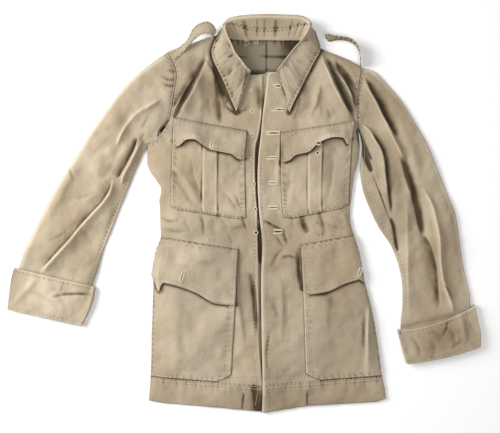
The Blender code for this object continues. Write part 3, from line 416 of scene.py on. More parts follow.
def smooth_rows(table, at):
    """Points of a table of sections, at fractional row numbers."""
    rows = np.array(table, float)
    numbers = np.arange(len(rows))
    return np.stack([pchip(numbers, rows[:, k], at) for k in range(rows.shape[1])], -1)


def segments(points):
    return np.concatenate([points[:-1], points[1:]], 1)


def silhouette():
    """The garment's outer edges in plan, where the top layer comes down to the back."""
    side = np.linspace(4.0, 10.0, 80)
    hem = np.linspace(0, 4, 9)
    parts = [
        column(RIGHT_SIDE, side), column(LEFT_SIDE, side),
        panel_at(RIGHT_FRONT, hem, 10.0), panel_at(LEFT_FRONT, hem * 0.75, 10.0),
        panel_at(RIGHT_FRONT, hem, 0.0), panel_at(LEFT_FRONT, hem * 0.75, 0.0),
    ]
    for table, last in ((RIGHT_SLEEVE, 11.6), (LEFT_SLEEVE, 14.6)):
        rings = smooth_rows(table, np.linspace(0, last, 60))
        parts += [rings[:, :2], rings[:, 2:4]]
    return np.concatenate([segments(part) for part in parts])


def nearest_on(points, lines):
    """Distance of plan points to line segments, worked in blocks."""
    blocks = np.array_split(points, max(1, len(points) // 4000))
    found = []
    for block in blocks:
        start = lines[:, :2]
        run = lines[:, 2:] - start
        offset = block[:, None] - start[None]
        share = np.clip((offset * run).sum(-1) / np.maximum((run * run).sum(-1), 1e-9), 0, 1)
        found.append(np.linalg.norm(offset - share[..., None] * run, axis=-1).min(1))
    return np.concatenate(found)


def bend(start, middle, end, count=25):
    """A smooth curve through three points."""
    start, middle, end = (np.array(point, float) for point in (start, middle, end))
    control = 2 * middle - (start + end) / 2
    t = np.linspace(0, 1, count)[:, None]
    return start * (1 - t) ** 2 + control * 2 * t * (1 - t) + end * t**2


def along_curve(points, curve):
    """Distance to a curve, side of it (positive to the left) and share of the way along it."""
    run = curve[1:] - curve[:-1]
    offset = points[:, None] - curve[None, :-1]
    share = np.clip((offset * run).sum(-1) / (run * run).sum(-1), 0, 1)
    away = offset - share[..., None] * run
    distance = np.linalg.norm(away, axis=-1)
    nearest = distance.argmin(1)
    pick = np.arange(len(points))
    turn = run[nearest, 0] * away[pick, nearest, 1] - run[nearest, 1] * away[pick, nearest, 0]
    return distance[pick, nearest], turn, (nearest + share[pick, nearest]) / len(run)


def soft_noise(rng, shape, cell):
    """Smooth random heights with bumps about one cell wide."""
    rows = int(shape[0] * RASTER_STEP / cell) + 4
    cols = int(shape[1] * RASTER_STEP / cell) + 4
    lattice = rng.standard_normal((rows, cols))
    y = np.arange(shape[0]) * RASTER_STEP / cell
    x = np.arange(shape[1]) * RASTER_STEP / cell
    i, j = y.astype(int), x.astype(int)
    fy, fx = (y - i)[:, None], (x - j)[None]
    fy, fx = fy * fy * (3 - 2 * fy), fx * fx * (3 - 2 * fx)
    a, b = lattice[i][:, j], lattice[i][:, j + 1]
    c, d = lattice[i + 1][:, j], lattice[i + 1][:, j + 1]
    return (a * (1 - fx) + b * fx) * (1 - fy) + (c * (1 - fx) + d * fx) * fy


def catmull(points, at):
    """Smooth curve through points that follow each other along the first axis."""
    i = np.clip(np.floor(at).astype(int), 0, len(points) - 2)
    t = (at - i).reshape((-1,) + (1,) * (points.ndim - 1))
    before, after = points[np.maximum(i - 1, 0)], points[np.minimum(i + 2, len(points) - 1)]
    start, end = points[i], points[i + 1]
    return 0.5 * (2 * start + (end - before) * t + (2 * before - 5 * start + 4 * end - after) * t**2
                  + (3 * start - before - 3 * end + after) * t**3)


def ramp(value, low, high):
    share = np.clip((value - low) / (high - low), 0, 1)
    return share * share * (3 - 2 * share)


class Cloth:
    """The top layer's underside over the whole garment, on a raster, with the shade painted into its
    hollows and the highlights painted along its crests.
    """

    def __init__(self):
        self.low = np.array([-500.0, -420.0])
        cols, rows = int(1000 / RASTER_STEP), int(840 / RASTER_STEP)
        x = self.low[0] + np.arange(cols) * RASTER_STEP
        y = self.low[1] + np.arange(rows) * RASTER_STEP
        grid = np.stack(np.meshgrid(x, y), -1)
        self.grid = grid
        coarse = grid[::3, ::3]
        distance = nearest_on(coarse.reshape(-1, 2), silhouette()).reshape(coarse.shape[:2])
        fy = np.clip(np.arange(rows) / 3, 0, coarse.shape[0] - 1.001)
        fx = np.clip(np.arange(cols) / 3, 0, coarse.shape[1] - 1.001)
        i, j = fy.astype(int), fx.astype(int)
        sy, sx = (fy - i)[:, None], (fx - j)[None]
        distance = ((distance[i][:, j] * (1 - sx) + distance[i][:, j + 1] * sx) * (1 - sy)
                    + (distance[i + 1][:, j] * (1 - sx) + distance[i + 1][:, j + 1] * sx) * sy)
        edge = np.clip(distance / PUFF_REACH, 0, 1)
        rise = np.sqrt(1 - (1 - edge) ** 2)
        folds = np.zeros(grid.shape[:2])
        # Shade painted into the hollows of the folds and highlights painted along their crests
        self.painted_shade = np.zeros(grid.shape[:2])
        self.bright = np.zeros(grid.shape[:2])
        for x0, y0, x1, y1, x2, y2, left, right, height, painted_shade in FOLDS:
            self.fold(folds, bend((x0, y0), (x1, y1), (x2, y2)), left, right, height, painted_shade)
        for left, right, height, painted_shade, *points in VALLEYS:
            knots = np.array(points, float)
            curve = catmull(knots, np.linspace(0, len(knots) - 1, 40))
            self.crease(folds, curve, left, right, height, painted_shade)
        rng = np.random.default_rng(7)
        wrinkle = sum(size * soft_noise(rng, folds.shape, cell) for cell, size in WRINKLES)
        self.height = np.maximum(LAYER + PUFF * rise + rise * (1.35 * folds + wrinkle), LAYER)
        self.painted_shade *= 0.9 + 0.1 * np.clip(soft_noise(rng, folds.shape, 16), -1.2, 1.2)
        # Broad tones: partly the cloth's own uneven colour, partly painted light and shade
        self.tone = np.zeros(folds.shape)
        for x, y, wide, high, turn, amount in TONES:
            angle = math.radians(turn)
            across = (grid[..., 0] - x) * math.cos(angle) + (grid[..., 1] - y) * math.sin(angle)
            up = -(grid[..., 0] - x) * math.sin(angle) + (grid[..., 1] - y) * math.cos(angle)
            self.tone += amount * np.exp(-((across / wide) ** 2) - (up / high) ** 2)
        lap = nearest_on(coarse.reshape(-1, 2), segments(column(LEFT_EDGE, np.linspace(0, 10, 80))))
        lap = np.clip(1 - lap.reshape(coarse.shape[:2]) / LAP_WIDTH, 0, 1)
        lap = LAP_LIFT * lap * lap * (3 - 2 * lap)
        roof = self.height + lap[i][:, j]
        for shift in ((0, 4), (0, -4), (4, 0), (-4, 0), (3, 3), (3, -3), (-3, 3), (-3, -3)):
            roof = np.maximum(roof, np.roll(roof, shift, (0, 1)))
        self.roof = roof
        # Painted shadows under edges that stand off the cloth
        self.cast = np.zeros(grid.shape[:2])

    def window(self, line, reach):
        """Part of the raster within reach of a line."""
        lo = np.maximum(((line.min(0) - reach - self.low) / RASTER_STEP).astype(int), 0)
        hi = ((line.max(0) + reach - self.low) / RASTER_STEP).astype(int) + 1
        return slice(lo[1], hi[1]), slice(lo[0], hi[0])

    def fold(self, folds, curve, left, right, height, painted_shade):
        """One short fold, highest and with the most painted shade half way along."""
        window = self.window(curve, 2.6 * max(left, right))
        points = self.grid[window]
        far, turn, along = along_curve(points.reshape(-1, 2), curve)
        fade = np.sin(np.pi * np.clip(along, 0, 1)) ** 0.7
        fade *= 1 - 0.22 * (1 + np.sin(along * 17 + curve[0, 0])) / 2
        own = np.where(turn > 0, left, right)
        other = np.where(turn > 0, right, left)
        share = far / own
        crest = 0.5 * np.exp(-(share**2)) + 0.5 * np.exp(-1.5 * share)
        shape = (crest if height > 4 else np.exp(-(share**2))) * fade
        folds[window] += (height * shape).reshape(points.shape[:2])
        # A painted highlight along the crest of a tall fold
        if height > 4:
            line = 0.085 * height * np.exp(-((far / 2.4) ** 2)) * fade
            self.bright[window] = np.maximum(self.bright[window], line.reshape(points.shape[:2]))
        # Painted shade in the fold, crisp on its narrow side
        if painted_shade > 0:
            crisp = np.where(own < other, 7.0, np.where(own > other, 1.7, 3.0))
            tint = 0.85 * np.exp(-(share**crisp)) + 0.2 * np.exp(-((share / 2.4) ** 2))
            tint = painted_shade * fade**0.6 * tint
            self.painted_shade[window] = np.maximum(self.painted_shade[window], tint.reshape(points.shape[:2]))
        # Below zero: painted shade is taken away along the fold, a painted highlight
        elif painted_shade < 0:
            self.painted_shade[window] += (painted_shade * shape).reshape(points.shape[:2]) * 0.6

    def crease(self, folds, curve, left, right, height, painted_shade):
        """One long valley or ridge, steep on its narrower side."""
        window = self.window(curve, 2.6 * max(left, right))
        points = self.grid[window]
        far, turn, along = along_curve(points.reshape(-1, 2), curve)
        fade = ramp(along, 0, 0.14) * (1 - ramp(along, 0.86, 1))
        own = np.where(turn > 0, left, right)
        other = np.where(turn > 0, right, left)
        taper = 0.3 + 0.7 * np.sin(np.pi * np.clip(along, 0, 1)) ** 0.6
        share = far / (own * taper)
        crest = 0.5 * np.exp(-(share**2)) + 0.5 * np.exp(-1.5 * share)
        shape = (crest if height > 4 else np.exp(-(share**2))) * fade
        folds[window] += (height * shape).reshape(points.shape[:2])
        # A painted highlight along the crest of a tall ridge
        if height > 4:
            line = 0.06 * height * np.exp(-((far / 2.6) ** 2)) * fade
            self.bright[window] = np.maximum(self.bright[window], line.reshape(points.shape[:2]))
        # Painted shade in the valley, crisp on its steep side
        if painted_shade > 0:
            steep = np.exp(-(share ** np.where(own < other, 5.0, 2.4)))
            soft = np.exp(-0.55 * share - 0.9 * share**2)
            broad = 0.1 * np.exp(-((share / 2.0) ** 2))
            tint = painted_shade * fade * (np.where(own > other, soft, steep) + broad)
            self.painted_shade[window] = np.maximum(self.painted_shade[window], tint.reshape(points.shape[:2]))

    def sample(self, raster, plan):
        points = (plan.reshape(-1, 2) - self.low) / RASTER_STEP
        points = np.clip(points, 0, np.array(raster.shape[::-1]) - 1.001)
        j, i = points[:, 0].astype(int), points[:, 1].astype(int)
        fx, fy = points[:, 0] - j, points[:, 1] - i
        value = ((raster[i, j] * (1 - fx) + raster[i, j + 1] * fx) * (1 - fy)
                 + (raster[i + 1, j] * (1 - fx) + raster[i + 1, j + 1] * fx) * fy)
        return value.reshape(plan.shape[:-1])

    def under(self, plan):
        return self.sample(self.height, plan)

    def shade(self, plan):
        return self.sample(self.painted_shade, plan)

    def tone_at(self, plan):
        return self.sample(self.tone, plan)

    def bright_at(self, plan):
        return self.sample(self.bright, plan)

    def cast_shade(self, plan):
        return self.sample(self.cast, plan)

    def cast_from(self, line, width, amount):
        """Paint a shadow on the cloth under an edge that stands off it."""
        line = np.asarray(line, float)
        window = self.window(line, 3 * width)
        points = self.grid[window]
        away = nearest_on(points.reshape(-1, 2), segments(line)).reshape(points.shape[:2])
        self.cast[window] = np.maximum(self.cast[window], amount * np.exp(-((away / width) ** 2)))


RIGHT_FRONT = (RIGHT_SIDE, RIGHT_POCKET_OUT, RIGHT_POCKET_IN, RIGHT_LIP, RIGHT_EDGE)
LEFT_FRONT = (LEFT_EDGE, LEFT_POCKET_IN, LEFT_POCKET_OUT, LEFT_SIDE)


def groove(plan, lines, width=1.6, depth=0.55, pitch=7.0):
    """Dip of the cloth along rows of stitches, puckered along their length."""
    points = plan.reshape(-1, 2)
    dip, row = np.zeros(len(points)), np.zeros(len(points))
    for number, line in enumerate(lines):
        line = np.asarray(line, float)
        near = np.flatnonzero(((points > line.min(0) - 12) & (points < line.max(0) + 12)).all(1))
        if not len(near):
            continue
        far, _, along = along_curve(points[near], line)
        length = np.linalg.norm(np.diff(line, axis=0), axis=1).sum()
        wave = np.sin(along * length / pitch * 2 * np.pi + number * 1.7 + np.sin(along * 23) * 1.4)
        pucker = PUCKER * wave * np.exp(-((far / 5.5) ** 2))
        dip[near] = np.minimum(dip[near], -depth * np.exp(-((far / width) ** 2)))
        dip[near] += pucker * depth
        # Painted shade along each row of stitches, varying with the puckers
        row[near] = np.maximum(row[near], np.exp(-((far / width) ** 2)) * (1 + 0.75 * wave))
    return dip.reshape(plan.shape[:-1]), row.reshape(plan.shape[:-1])


CLOTH_TONE = {}


def grid_object(name, points, material, shade=None, pale=None, thickness=SHELL, closed=False,
                centred=False, up_at=None):
    """A cloth piece from a grid of points in table millimetres; thickness grows downwards."""
    rows, cols = points.shape[:2]
    bm = bmesh.new()
    bmesh.ops.create_grid(bm, x_segments=cols - 1, y_segments=rows - 1, size=0.5)
    tint = bm.verts.layers.float.new("shade")
    light = bm.verts.layers.float.new("pale")
    tone = bm.verts.layers.float.new("tone")
    # The broad tone, partly the cloth's own colour and partly painted light and shade, and the painted
    # highlights along fold crests, added to the piece's pale rims
    tone_and_painted_light = CLOTH_TONE["at"](points[..., :2])
    crest = CLOTH_TONE["bright"](points[..., :2])
    placed = (points - np.array(CENTRE)) / 1000
    shade = np.zeros((rows, cols)) if shade is None else shade
    pale = crest if pale is None else pale + crest
    seen = up_at or (rows // 2, cols // 2)
    for vert in bm.verts:
        i = round((vert.co.y + 0.5) * (rows - 1))
        j = round((vert.co.x + 0.5) * (cols - 1))
        vert[tint] = float(shade[i, j])
        vert[light] = float(pale[i, j])
        vert[tone] = float(tone_and_painted_light[i, j])
        vert.co = placed[i, j]
        if (i, j) == seen:
            top = vert
    bm.normal_update()
    if top.normal.z < 0:
        bmesh.ops.reverse_faces(bm, faces=bm.faces)
    if closed:
        bmesh.ops.remove_doubles(bm, verts=bm.verts, dist=1e-6)
    mesh = bpy.data.meshes.new(name)
    bm.to_mesh(mesh)
    bm.free()
    mesh.shade_smooth()
    mesh.materials.append(material)
    piece = bpy.data.objects.new(name + "_cloth", mesh)
    bpy.context.scene.collection.objects.link(piece)
    if thickness:
        solid = piece.modifiers.new("cloth thickness", "SOLIDIFY")
        solid.thickness = thickness / 1000
        solid.offset = 0.0 if centred else -1.0
        solid.use_rim = True
    return piece


def lifted(plan, height):
    return np.concatenate([plan, np.broadcast_to(height, plan.shape[:-1])[..., None]], -1)


def panel_at(columns, across, down):
    """Plan points of a panel at arrays of column numbers and stations."""
    across, down = np.broadcast_arrays(np.asarray(across, float), np.asarray(down, float))
    lines = np.stack([column(table, down) for table in columns], -2)
    left = np.clip(np.floor(across).astype(int), 0, len(columns) - 2)
    share = (across - left)[..., None]
    pick = left[..., None, None]
    low = np.take_along_axis(lines, pick, -2)[..., 0, :]
    high = np.take_along_axis(lines, pick + 1, -2)[..., 0, :]
    return low * (1 - share) + high * share


def counted(*runs):
    """Values from (start, end, count) runs joined end to end."""
    values = [np.linspace(start, end, count, endpoint=False) for start, end, count in runs]
    return np.concatenate(values + [[runs[-1][1]]])


DOWN = counted((0, 1, 18), (1, 2, 20), (2, 3, 28), (3, 4, 28), (4, 5, 40), (5, 6, 6), (6, 7, 24),
               (7, 8, 32), (8, 9, 72), (9, 10, 22))
RIGHT_ACROSS = counted((0, 1, 12), (1, 2, 62), (2, 3, 18), (3, 4, 9))
LEFT_ACROSS = counted((0, 1, 32), (1, 2, 60), (2, 3, 10))


class Garment:
    """What every piece is made from: the cloth's rasters, the user's sizes and the materials."""

    def __init__(self, looks):
        self.cloth = Cloth()
        CLOTH_TONE["at"] = self.cloth.tone_at
        CLOTH_TONE["bright"] = self.cloth.bright_at
        self.looks = looks
        self.edge = segments(column(LEFT_EDGE, np.linspace(0, 10, 160)))
        self.stitches = []
        self.grids = []
        self.materials = {}
        # Painted shadows under the flaps' edges, round the pockets' sides and bottoms, and under the collar
        # leaves' outer edges
        for _, columns, left, right, seam, table, _ in FLAPS:
            plan = flap_plan(columns, left, right, seam, table)[0]
            self.cloth.cast_from(plan[-1], 5.5, 0.75)
            self.cloth.cast_from(plan[:, 0], 3.0, 0.5)
            self.cloth.cast_from(plan[:, -1], 3.0, 0.5)
        for _, columns, place, corners, _ in POCKETS:
            outline = pocket_plan(columns, place, corners, 60, 50)[0]
            for line in (outline[:, 0], outline[:, -1], outline[-1]):
                self.cloth.cast_from(line, 2.0, 0.62)
        leaf = catmull(np.array(COLLAR, float), np.linspace(0, 18, 120))[:, 5:7]
        self.cloth.cast_from(leaf[:48], 7.0, 0.95)
        self.cloth.cast_from(leaf[72:], 7.0, 0.75)

    def top_of(self, columns):
        """The height function of the front that has these columns."""
        return self.right_top if columns is RIGHT_FRONT else self.left_top

    def right_top(self, plan):
        return self.cloth.under(plan) + CLOTH

    def left_top(self, plan):
        away = nearest_on(plan.reshape(-1, 2), self.edge).reshape(plan.shape[:-1])
        share = np.clip(1 - away / LAP_WIDTH, 0, 1)
        return self.cloth.under(plan) + CLOTH + LAP_LIFT * share * share * (3 - 2 * share)

    def height_over(self, spot, top_of):
        """Height just above the cloth at a plan point: of a named front, or of all there is."""
        if top_of:
            return float(top_of(spot[None])[0]) + 0.1
        best = -1.0
        for grid in self.grids:
            away = ((grid[..., :2] - spot) ** 2).sum(-1)
            nearest = away.argmin()
            if away.flat[nearest] < 9.0:
                best = max(best, float(grid[..., 2].flat[nearest]))
        return best + 0.1 if best > 0 else CLOTH

    def sew(self, points):
        """Remember a row of stitches along a line of points on the cloth."""
        self.stitches.append(np.asarray(points, float))


def row_line(down, first, last, count):
    """A line of stitches along a row of a grid, in shares."""
    return [(share, down) for share in np.linspace(first, last, count)]


def column_line(across, first, last, count):
    """A line of stitches along a column of a grid, in shares."""
    return [(across, share) for share in np.linspace(first, last, count)]


def on_grid(points, path, count=160):
    """Points of a piece's grid along a path of (across, down) shares."""
    path = np.array(path, float)
    t = np.linspace(0, len(path) - 1, count)
    i = np.minimum(t.astype(int), len(path) - 2)
    spot = path[i] * (1 - (t - i))[:, None] + path[i + 1] * (t - i)[:, None]
    col = np.clip(spot[:, 0] * (points.shape[1] - 1), 0, points.shape[1] - 1.001)
    row = np.clip(spot[:, 1] * (points.shape[0] - 1), 0, points.shape[0] - 1.001)
    a, b = row.astype(int), col.astype(int)
    fr, fc = (row - a)[:, None], (col - b)[:, None]
    return ((points[a, b] * (1 - fc) + points[a, b + 1] * fc) * (1 - fr)
            + (points[a + 1, b] * (1 - fc) + points[a + 1, b + 1] * fc) * fr)


def plan_line(grid, path):
    """Grid shares of the points nearest to a line of plan points."""
    shares = []
    for spot in bend(*path, count=14):
        i, j = np.unravel_index(((grid[..., :2] - spot) ** 2).sum(-1).argmin(), grid.shape[:2])
        shares.append((j / (grid.shape[1] - 1), i / (grid.shape[0] - 1)))
    return shares


def sew_lines(garment, grid, lines, depth=0.5):
    """Pull the cloth in along lines of stitches and sew them; lines are in grid shares."""
    flat = [on_grid(grid, line)[:, :2] for line in lines]
    garment.grids.append(grid)
    grid = grid.copy()
    dip, row = groove(grid[..., :2], flat, depth=depth)
    grid[..., 2] += dip
    for line in lines:
        garment.sew(on_grid(grid, line, 400))
    # The second value is the painted shade along the stitched rows
    return grid, SEAM_SHADE * row


def finish_cloth(piece, node):
    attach(piece, "root")
    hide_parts(node)


def make_backs(garment):
    down = counted((0, 4, 50), (4, 10, 120))
    across = counted((0, 1, 22), (1, 2, 28))
    for node, columns in (("back_right", (RIGHT_SIDE, RIGHT_BACK_NECK, BACK_CENTRE)),
                          ("back_left", (BACK_CENTRE, LEFT_BACK_NECK, LEFT_SIDE))):
        plan = panel_at(columns, across[None], down[:, None])
        half = SEAM_GAP / 2 * (-1 if node == "back_right" else 1)
        torn = np.exp(-(((down[:, None] - 3.62) / 0.22) ** 4)) * np.clip(1 - across[None] / 0.12, 0, 1)
        torn *= node == "back_right"
        plan[..., 0] -= 11 * torn
        plan[..., 0] += half * (np.abs(plan[..., 0] - NECK_X) < 0.01)
        neck = np.exp(-(((plan[..., 0] - NECK_X) / 70) ** 2) - ((plan[..., 1] - 330) / 60) ** 2)
        ripple = neck * np.sin(plan[..., 0] / 9 + plan[..., 1] / 21) * 0.12
        # Painted shade on the inside of the back: some everywhere, more over the left back and lower down,
        # in the gathers under the collar band and in the hole of the tear; darker lines along the centre
        # seam and the seam across, and a paler band below that seam
        shade = 0.12 + 0.5 * ramp(plan[..., 0], 56, 92) + 0.6 * ramp(-plan[..., 1], -298, -284)
        gather = np.sin(plan[..., 0] / 4.6 + np.sin(plan[..., 0] / 13) * 2) ** 2
        shade += 0.55 * ramp(plan[..., 1], 334, 352) * gather
        shade += 0.4 * np.exp(-(((plan[..., 0] - NECK_X) / 1.8) ** 2))
        shade += 0.45 * np.exp(-(((plan[..., 1] - 318) / 1.8) ** 2))
        shade -= 0.2 * np.exp(-(((plan[..., 1] - 305) / 9) ** 2))
        shade += 1.2 * torn
        grid = lifted(plan, CLOTH - 0.15 + ripple)
        piece = grid_object(node, grid, garment.materials["inside"], shade=np.clip(shade, 0, 1))
        finish_cloth(piece, node)


def hem_pucker_shade(plan, down):
    """Painted shade of the small upright puckers between the rows of stitches over the hem, and the hem
    darker below them.
    """
    x = plan[..., 0]
    wave = np.sin(x / 2.3 + 1.7 * np.sin(x / 17)) * np.sin(x / 7.1 + 2)
    return 0.24 * np.clip(wave, 0, 1) * np.exp(-(((down - 9.16) / 0.17) ** 2)) + 0.12 * ramp(down, 9.0, 9.2)


def make_front_right(garment):
    across, down = RIGHT_ACROSS[None], DOWN[:, None]
    plan = panel_at(RIGHT_FRONT, across, down)
    top = garment.right_top(plan)
    past_lip = np.clip((across - 3.0) / 0.25, 0, 1)
    below_neck = np.clip((down - 2.0) / 0.4, 0, 1)
    low = LAYER + CLOTH + 0 * top
    top = top * (1 - past_lip * below_neck) + low * past_lip * below_neck
    shade = garment.cloth.shade(plan) + garment.cloth.cast_shade(plan)
    y = plan[..., 1]
    # Past the lip, where the right front runs on under the left one: painted shade, nearly black in the
    # open gap, lighter elsewhere and more again at the hip; darker towards the hem at the opening
    gap = ramp(-y, -216, -205) * (1 - ramp(-y, 0, 10))
    hip = ramp(-y, 10, 20) * (1 - ramp(-y, 90, 100))
    shade += past_lip * (0.98 * gap + 0.22 * (1 - gap) + 0.4 * hip)
    shade += ramp(across, 2.5, 3.0) * 0.4 * ramp(-y, 330, 350) + hem_pucker_shade(plan, down)
    # A painted highlight along the right front's lip, strongest where it shows in the open gap
    pale = 0.8 * np.exp(-(((across - 2.97) / 0.05) ** 2)) * (0.4 + gap)
    grid = lifted(plan, top)
    lines = [row_line(0.928, 0, 0.98, 20), row_line(0.933, 0, 0.98, 20),
             column_line(0.885, 0.3, 0.99, 30), column_line(0.012, 0.02, 0.32, 30),
             column_line(0.022, 0.02, 0.32, 30), row_line(0.905, 0, 0.98, 20)]
    lines += [plan_line(grid, dart) for dart in RIGHT_DARTS]
    grid, seam = sew_lines(garment, grid, lines)
    piece = grid_object("front_right", grid, garment.materials["drill"],
                        shade=np.clip(shade + seam, 0, 1), pale=pale + 0 * shade)
    finish_cloth(piece, "front_right")


def make_front_left(garment):
    across, down = LEFT_ACROSS[None], DOWN[:, None]
    plan = panel_at(LEFT_FRONT, across, down)
    top = garment.left_top(plan)
    shade = garment.cloth.shade(plan) + garment.cloth.cast_shade(plan)
    shade += hem_pucker_shade(plan, down)
    # Paler along the opening's edge: a painted highlight, with the edge's wear
    pale = 0.6 * np.exp(-((across / 0.05) ** 2)) + 0 * shade
    top = top - 1.2 * np.exp(-((across / 0.03) ** 2))
    grid = lifted(plan, top)
    lines = [row_line(0.928, 0.02, 1, 20), row_line(0.933, 0.02, 1, 20),
             column_line(0.045, 0.3, 0.99, 40), column_line(0.2, 0.62, 0.92, 16),
             column_line(0.978, 0.02, 0.32, 30), row_line(0.905, 0.02, 1, 20)]
    lines += [plan_line(grid, dart) for dart in LEFT_DARTS]
    grid, seam = sew_lines(garment, grid, lines)
    piece = grid_object("front_left", grid, garment.materials["drill"],
                        shade=np.clip(shade + seam, 0, 1), pale=pale)
    finish_cloth(piece, "front_left")


def pocket_plan(columns, place, corners, cols, rows):
    """Plan points of a pocket, its lower corners cut off, with its shares across and down."""
    left, right, first, last = place
    share, t = np.linspace(0, 1, cols), np.linspace(0, 1, rows)[:, None]
    cut = np.zeros(cols)
    if "left" in corners:
        cut = np.maximum(cut, 1 - share / 0.11)
    if "right" in corners:
        cut = np.maximum(cut, 1 - (1 - share) / 0.11)
    end = last - (last - first) * 0.075 * np.clip(cut, 0, 1)
    across = left + (right - left) * share[None]
    return panel_at(columns, across, first + (end[None] - first) * t), share, t, across


def make_pocket(garment, node, columns, place, corners, pleat):
    """A patch pocket: cut-off lower corners, a box pleat where it has one, double stitching."""
    cols, rows = (74, 84) if pleat else (78, 112)
    plan, share, t, across = pocket_plan(columns, place, corners, cols, rows)
    full = np.sin(np.pi * share)[None] * np.sin(np.pi * t)
    top = garment.top_of(columns)(plan) + SEAM_GAP + CLOTH + POCKET_FULLNESS * full
    inside = np.minimum(np.minimum(share, 1 - share)[None] * 150, (1 - t) * 190)
    shade = garment.cloth.shade(plan) + garment.cloth.cast_shade(plan) * ramp(inside, 4, 8)
    # A pale rim along the pocket's edges: a painted highlight, with the edges' wear
    pale = 0.35 * np.exp(-((inside / 1.5) ** 2))
    if pleat:
        raised = ramp(across, pleat[0] - 0.015, pleat[0] + 0.01)
        raised = raised * (1 - ramp(across, pleat[1] - 0.01, pleat[1] + 0.015))
        top = top + PLEAT_RISE * raised
        # Painted shade just outside the pleat's raised edges and a painted highlight just inside them
        for side, out in ((pleat[0], -1), (pleat[1], 1)):
            line = np.exp(-(((across - side - out * 0.012) / 0.011) ** 2))
            shade = shade + 0.75 * line * (0.45 + 0.55 * np.sin(t * 9 + side * 7) ** 2)
            pale = pale + 0.5 * np.exp(-(((across - side + out * 0.02) / 0.012) ** 2))
    grid = lifted(plan, top)
    lines = []
    for inset in (0.022, 0.055):
        end = 1 - inset * 0.7
        lines += [column_line(inset, 0.02, end, 20), column_line(1 - inset, 0.02, end, 20),
                  row_line(end, inset, 1 - inset, 20)]
    grid, seam = sew_lines(garment, grid, lines)
    piece = grid_object(node, grid, garment.materials["drill"],
                        shade=np.clip(shade + seam, 0, 1), pale=pale)
    finish_cloth(piece, node)


def flap_plan(columns, left, right, seam, table, cols=76, rows=34):
    share, t = np.linspace(0, 1, cols), np.linspace(0, 1, rows)[:, None]
    knots = np.array(table, float)
    length = pchip(knots[:, 0], knots[:, 1], share)
    lift = pchip(knots[:, 0], knots[:, 2], share)
    across = left + (right - left) * share
    ends = panel_at(columns, across[None], np.array([[seam], [seam + 1.0]]))
    reach = np.linalg.norm(ends[1] - ends[0], axis=-1)
    return panel_at(columns, across[None], seam + t * (length / reach)[None]), t, lift


# Pockets: node, front, the columns and stations they lie between, cut corners, pleat
POCKETS = (
    ("breast_pocket_right", RIGHT_FRONT, (1, 2, 3.33, 6.0), ("left", "right"), (1.42, 1.62)),
    ("breast_pocket_left", LEFT_FRONT, (1, 2, 3.33, 6.0), ("left", "right"), (1.38, 1.58)),
    ("hip_pocket_right", RIGHT_FRONT, (0, 2, 7.25, 9.0), ("right",), None),
    ("hip_pocket_left", LEFT_FRONT, (1, 3, 7.25, 9.0), ("left",), None),
)
# Flaps: node, front, first and last column, seam's station, edge, height of the pleat under it
FLAPS = (
    ("breast_flap_right", RIGHT_FRONT, 1, 2, 3.0, RIGHT_BREAST_FLAP, 1.5),
    ("breast_flap_left", LEFT_FRONT, 1, 2, 3.0, LEFT_BREAST_FLAP, 1.5),
    ("hip_flap_right", RIGHT_FRONT, 0, 2, 7.0, RIGHT_HIP_FLAP, 0.0),
    ("hip_flap_left", LEFT_FRONT, 1, 3, 7.0, LEFT_HIP_FLAP, 0.0),
)


def make_flaps(garment):
    for node, columns, left, right, seam, table, pleat in FLAPS:
        plan, t, lift = flap_plan(columns, left, right, seam, table)
        stack = LAYER + POCKET_FULLNESS + pleat + 0.4
        clear = SEAM_GAP + stack * np.clip(t / 0.12, 0, 1)
        top = garment.top_of(columns)(plan) + clear + CLOTH + lift[None] * t**1.5
        # A painted highlight on the curled-up part of a lifted edge, and along the lower edge with its
        # wear; the flap takes 0.7 of the painted shade of the cloth there, and its top seam is darker
        curl = ramp(lift, 6, 11)[None] * ramp(t, 0.6, 0.95)
        shade = 0.7 * garment.cloth.shade(plan) + 0.3 * np.exp(-((t / 0.05) ** 2))
        grid = lifted(plan, top)
        lines = [row_line(0.03, 0, 1, 20), row_line(0.13, 0, 1, 20), row_line(0.93, 0.03, 0.97, 20),
                 column_line(0.03, 0.03, 0.93, 8), column_line(0.97, 0.03, 0.93, 8)]
        grid, seam = sew_lines(garment, grid, lines)
        piece = grid_object(node, grid, garment.materials["drill"], shade=np.clip(shade + seam, 0, 1),
                            pale=0.45 * curl + 0.25 * np.exp(-(((t - 1) / 0.03) ** 2)) + 0 * shade)
        finish_cloth(piece, node)


def tube_grid(plan, base, heights):
    """A flattened tube's closed rings: its upper wall, its edges and the wall on the floor."""
    middle = base[:, None] + CLOTH
    top = np.maximum(heights, middle + 0.4)
    under = np.broadcast_to(base[:, None] + 0.05, top[:, 1:-1].shape)
    edge_out = np.concatenate([plan[:, :1], middle[..., None]], -1)
    edge_in = np.concatenate([plan[:, -1:], middle[..., None]], -1)
    upper = lifted(plan[:, 1:-1], top[:, 1:-1])
    lower = lifted(plan[:, 1:-1], under)[:, ::-1]
    return np.concatenate([edge_out, upper, edge_in, lower, edge_out], 1)


def edge_shares(count):
    """Shares across a tube, closer together towards its edges."""
    angle = np.linspace(0, np.pi, count)
    return 0.35 * (1 - np.cos(angle)) / 2 + 0.65 * np.linspace(0, 1, count)


def finish_tube(garment, node, grid, shade, pale, lines):
    """Sew a tube's upper wall and close it; the wall on the floor stays plain."""
    wide = shade.shape[1]
    around = np.concatenate([shade, shade[:, 1:-1][:, ::-1] * 0.3, shade[:, :1]], 1)
    grid[:, :wide], seam = sew_lines(garment, grid[:, :wide], lines)
    around[:, :wide] += seam
    grid[:, -1] = grid[:, 0]
    piece = grid_object(node, grid, garment.materials["drill"], shade=np.clip(around, 0, 1),
                        pale=pale + 0 * around, closed=True, up_at=(len(grid) // 2, wide // 2))
    finish_cloth(piece, node)


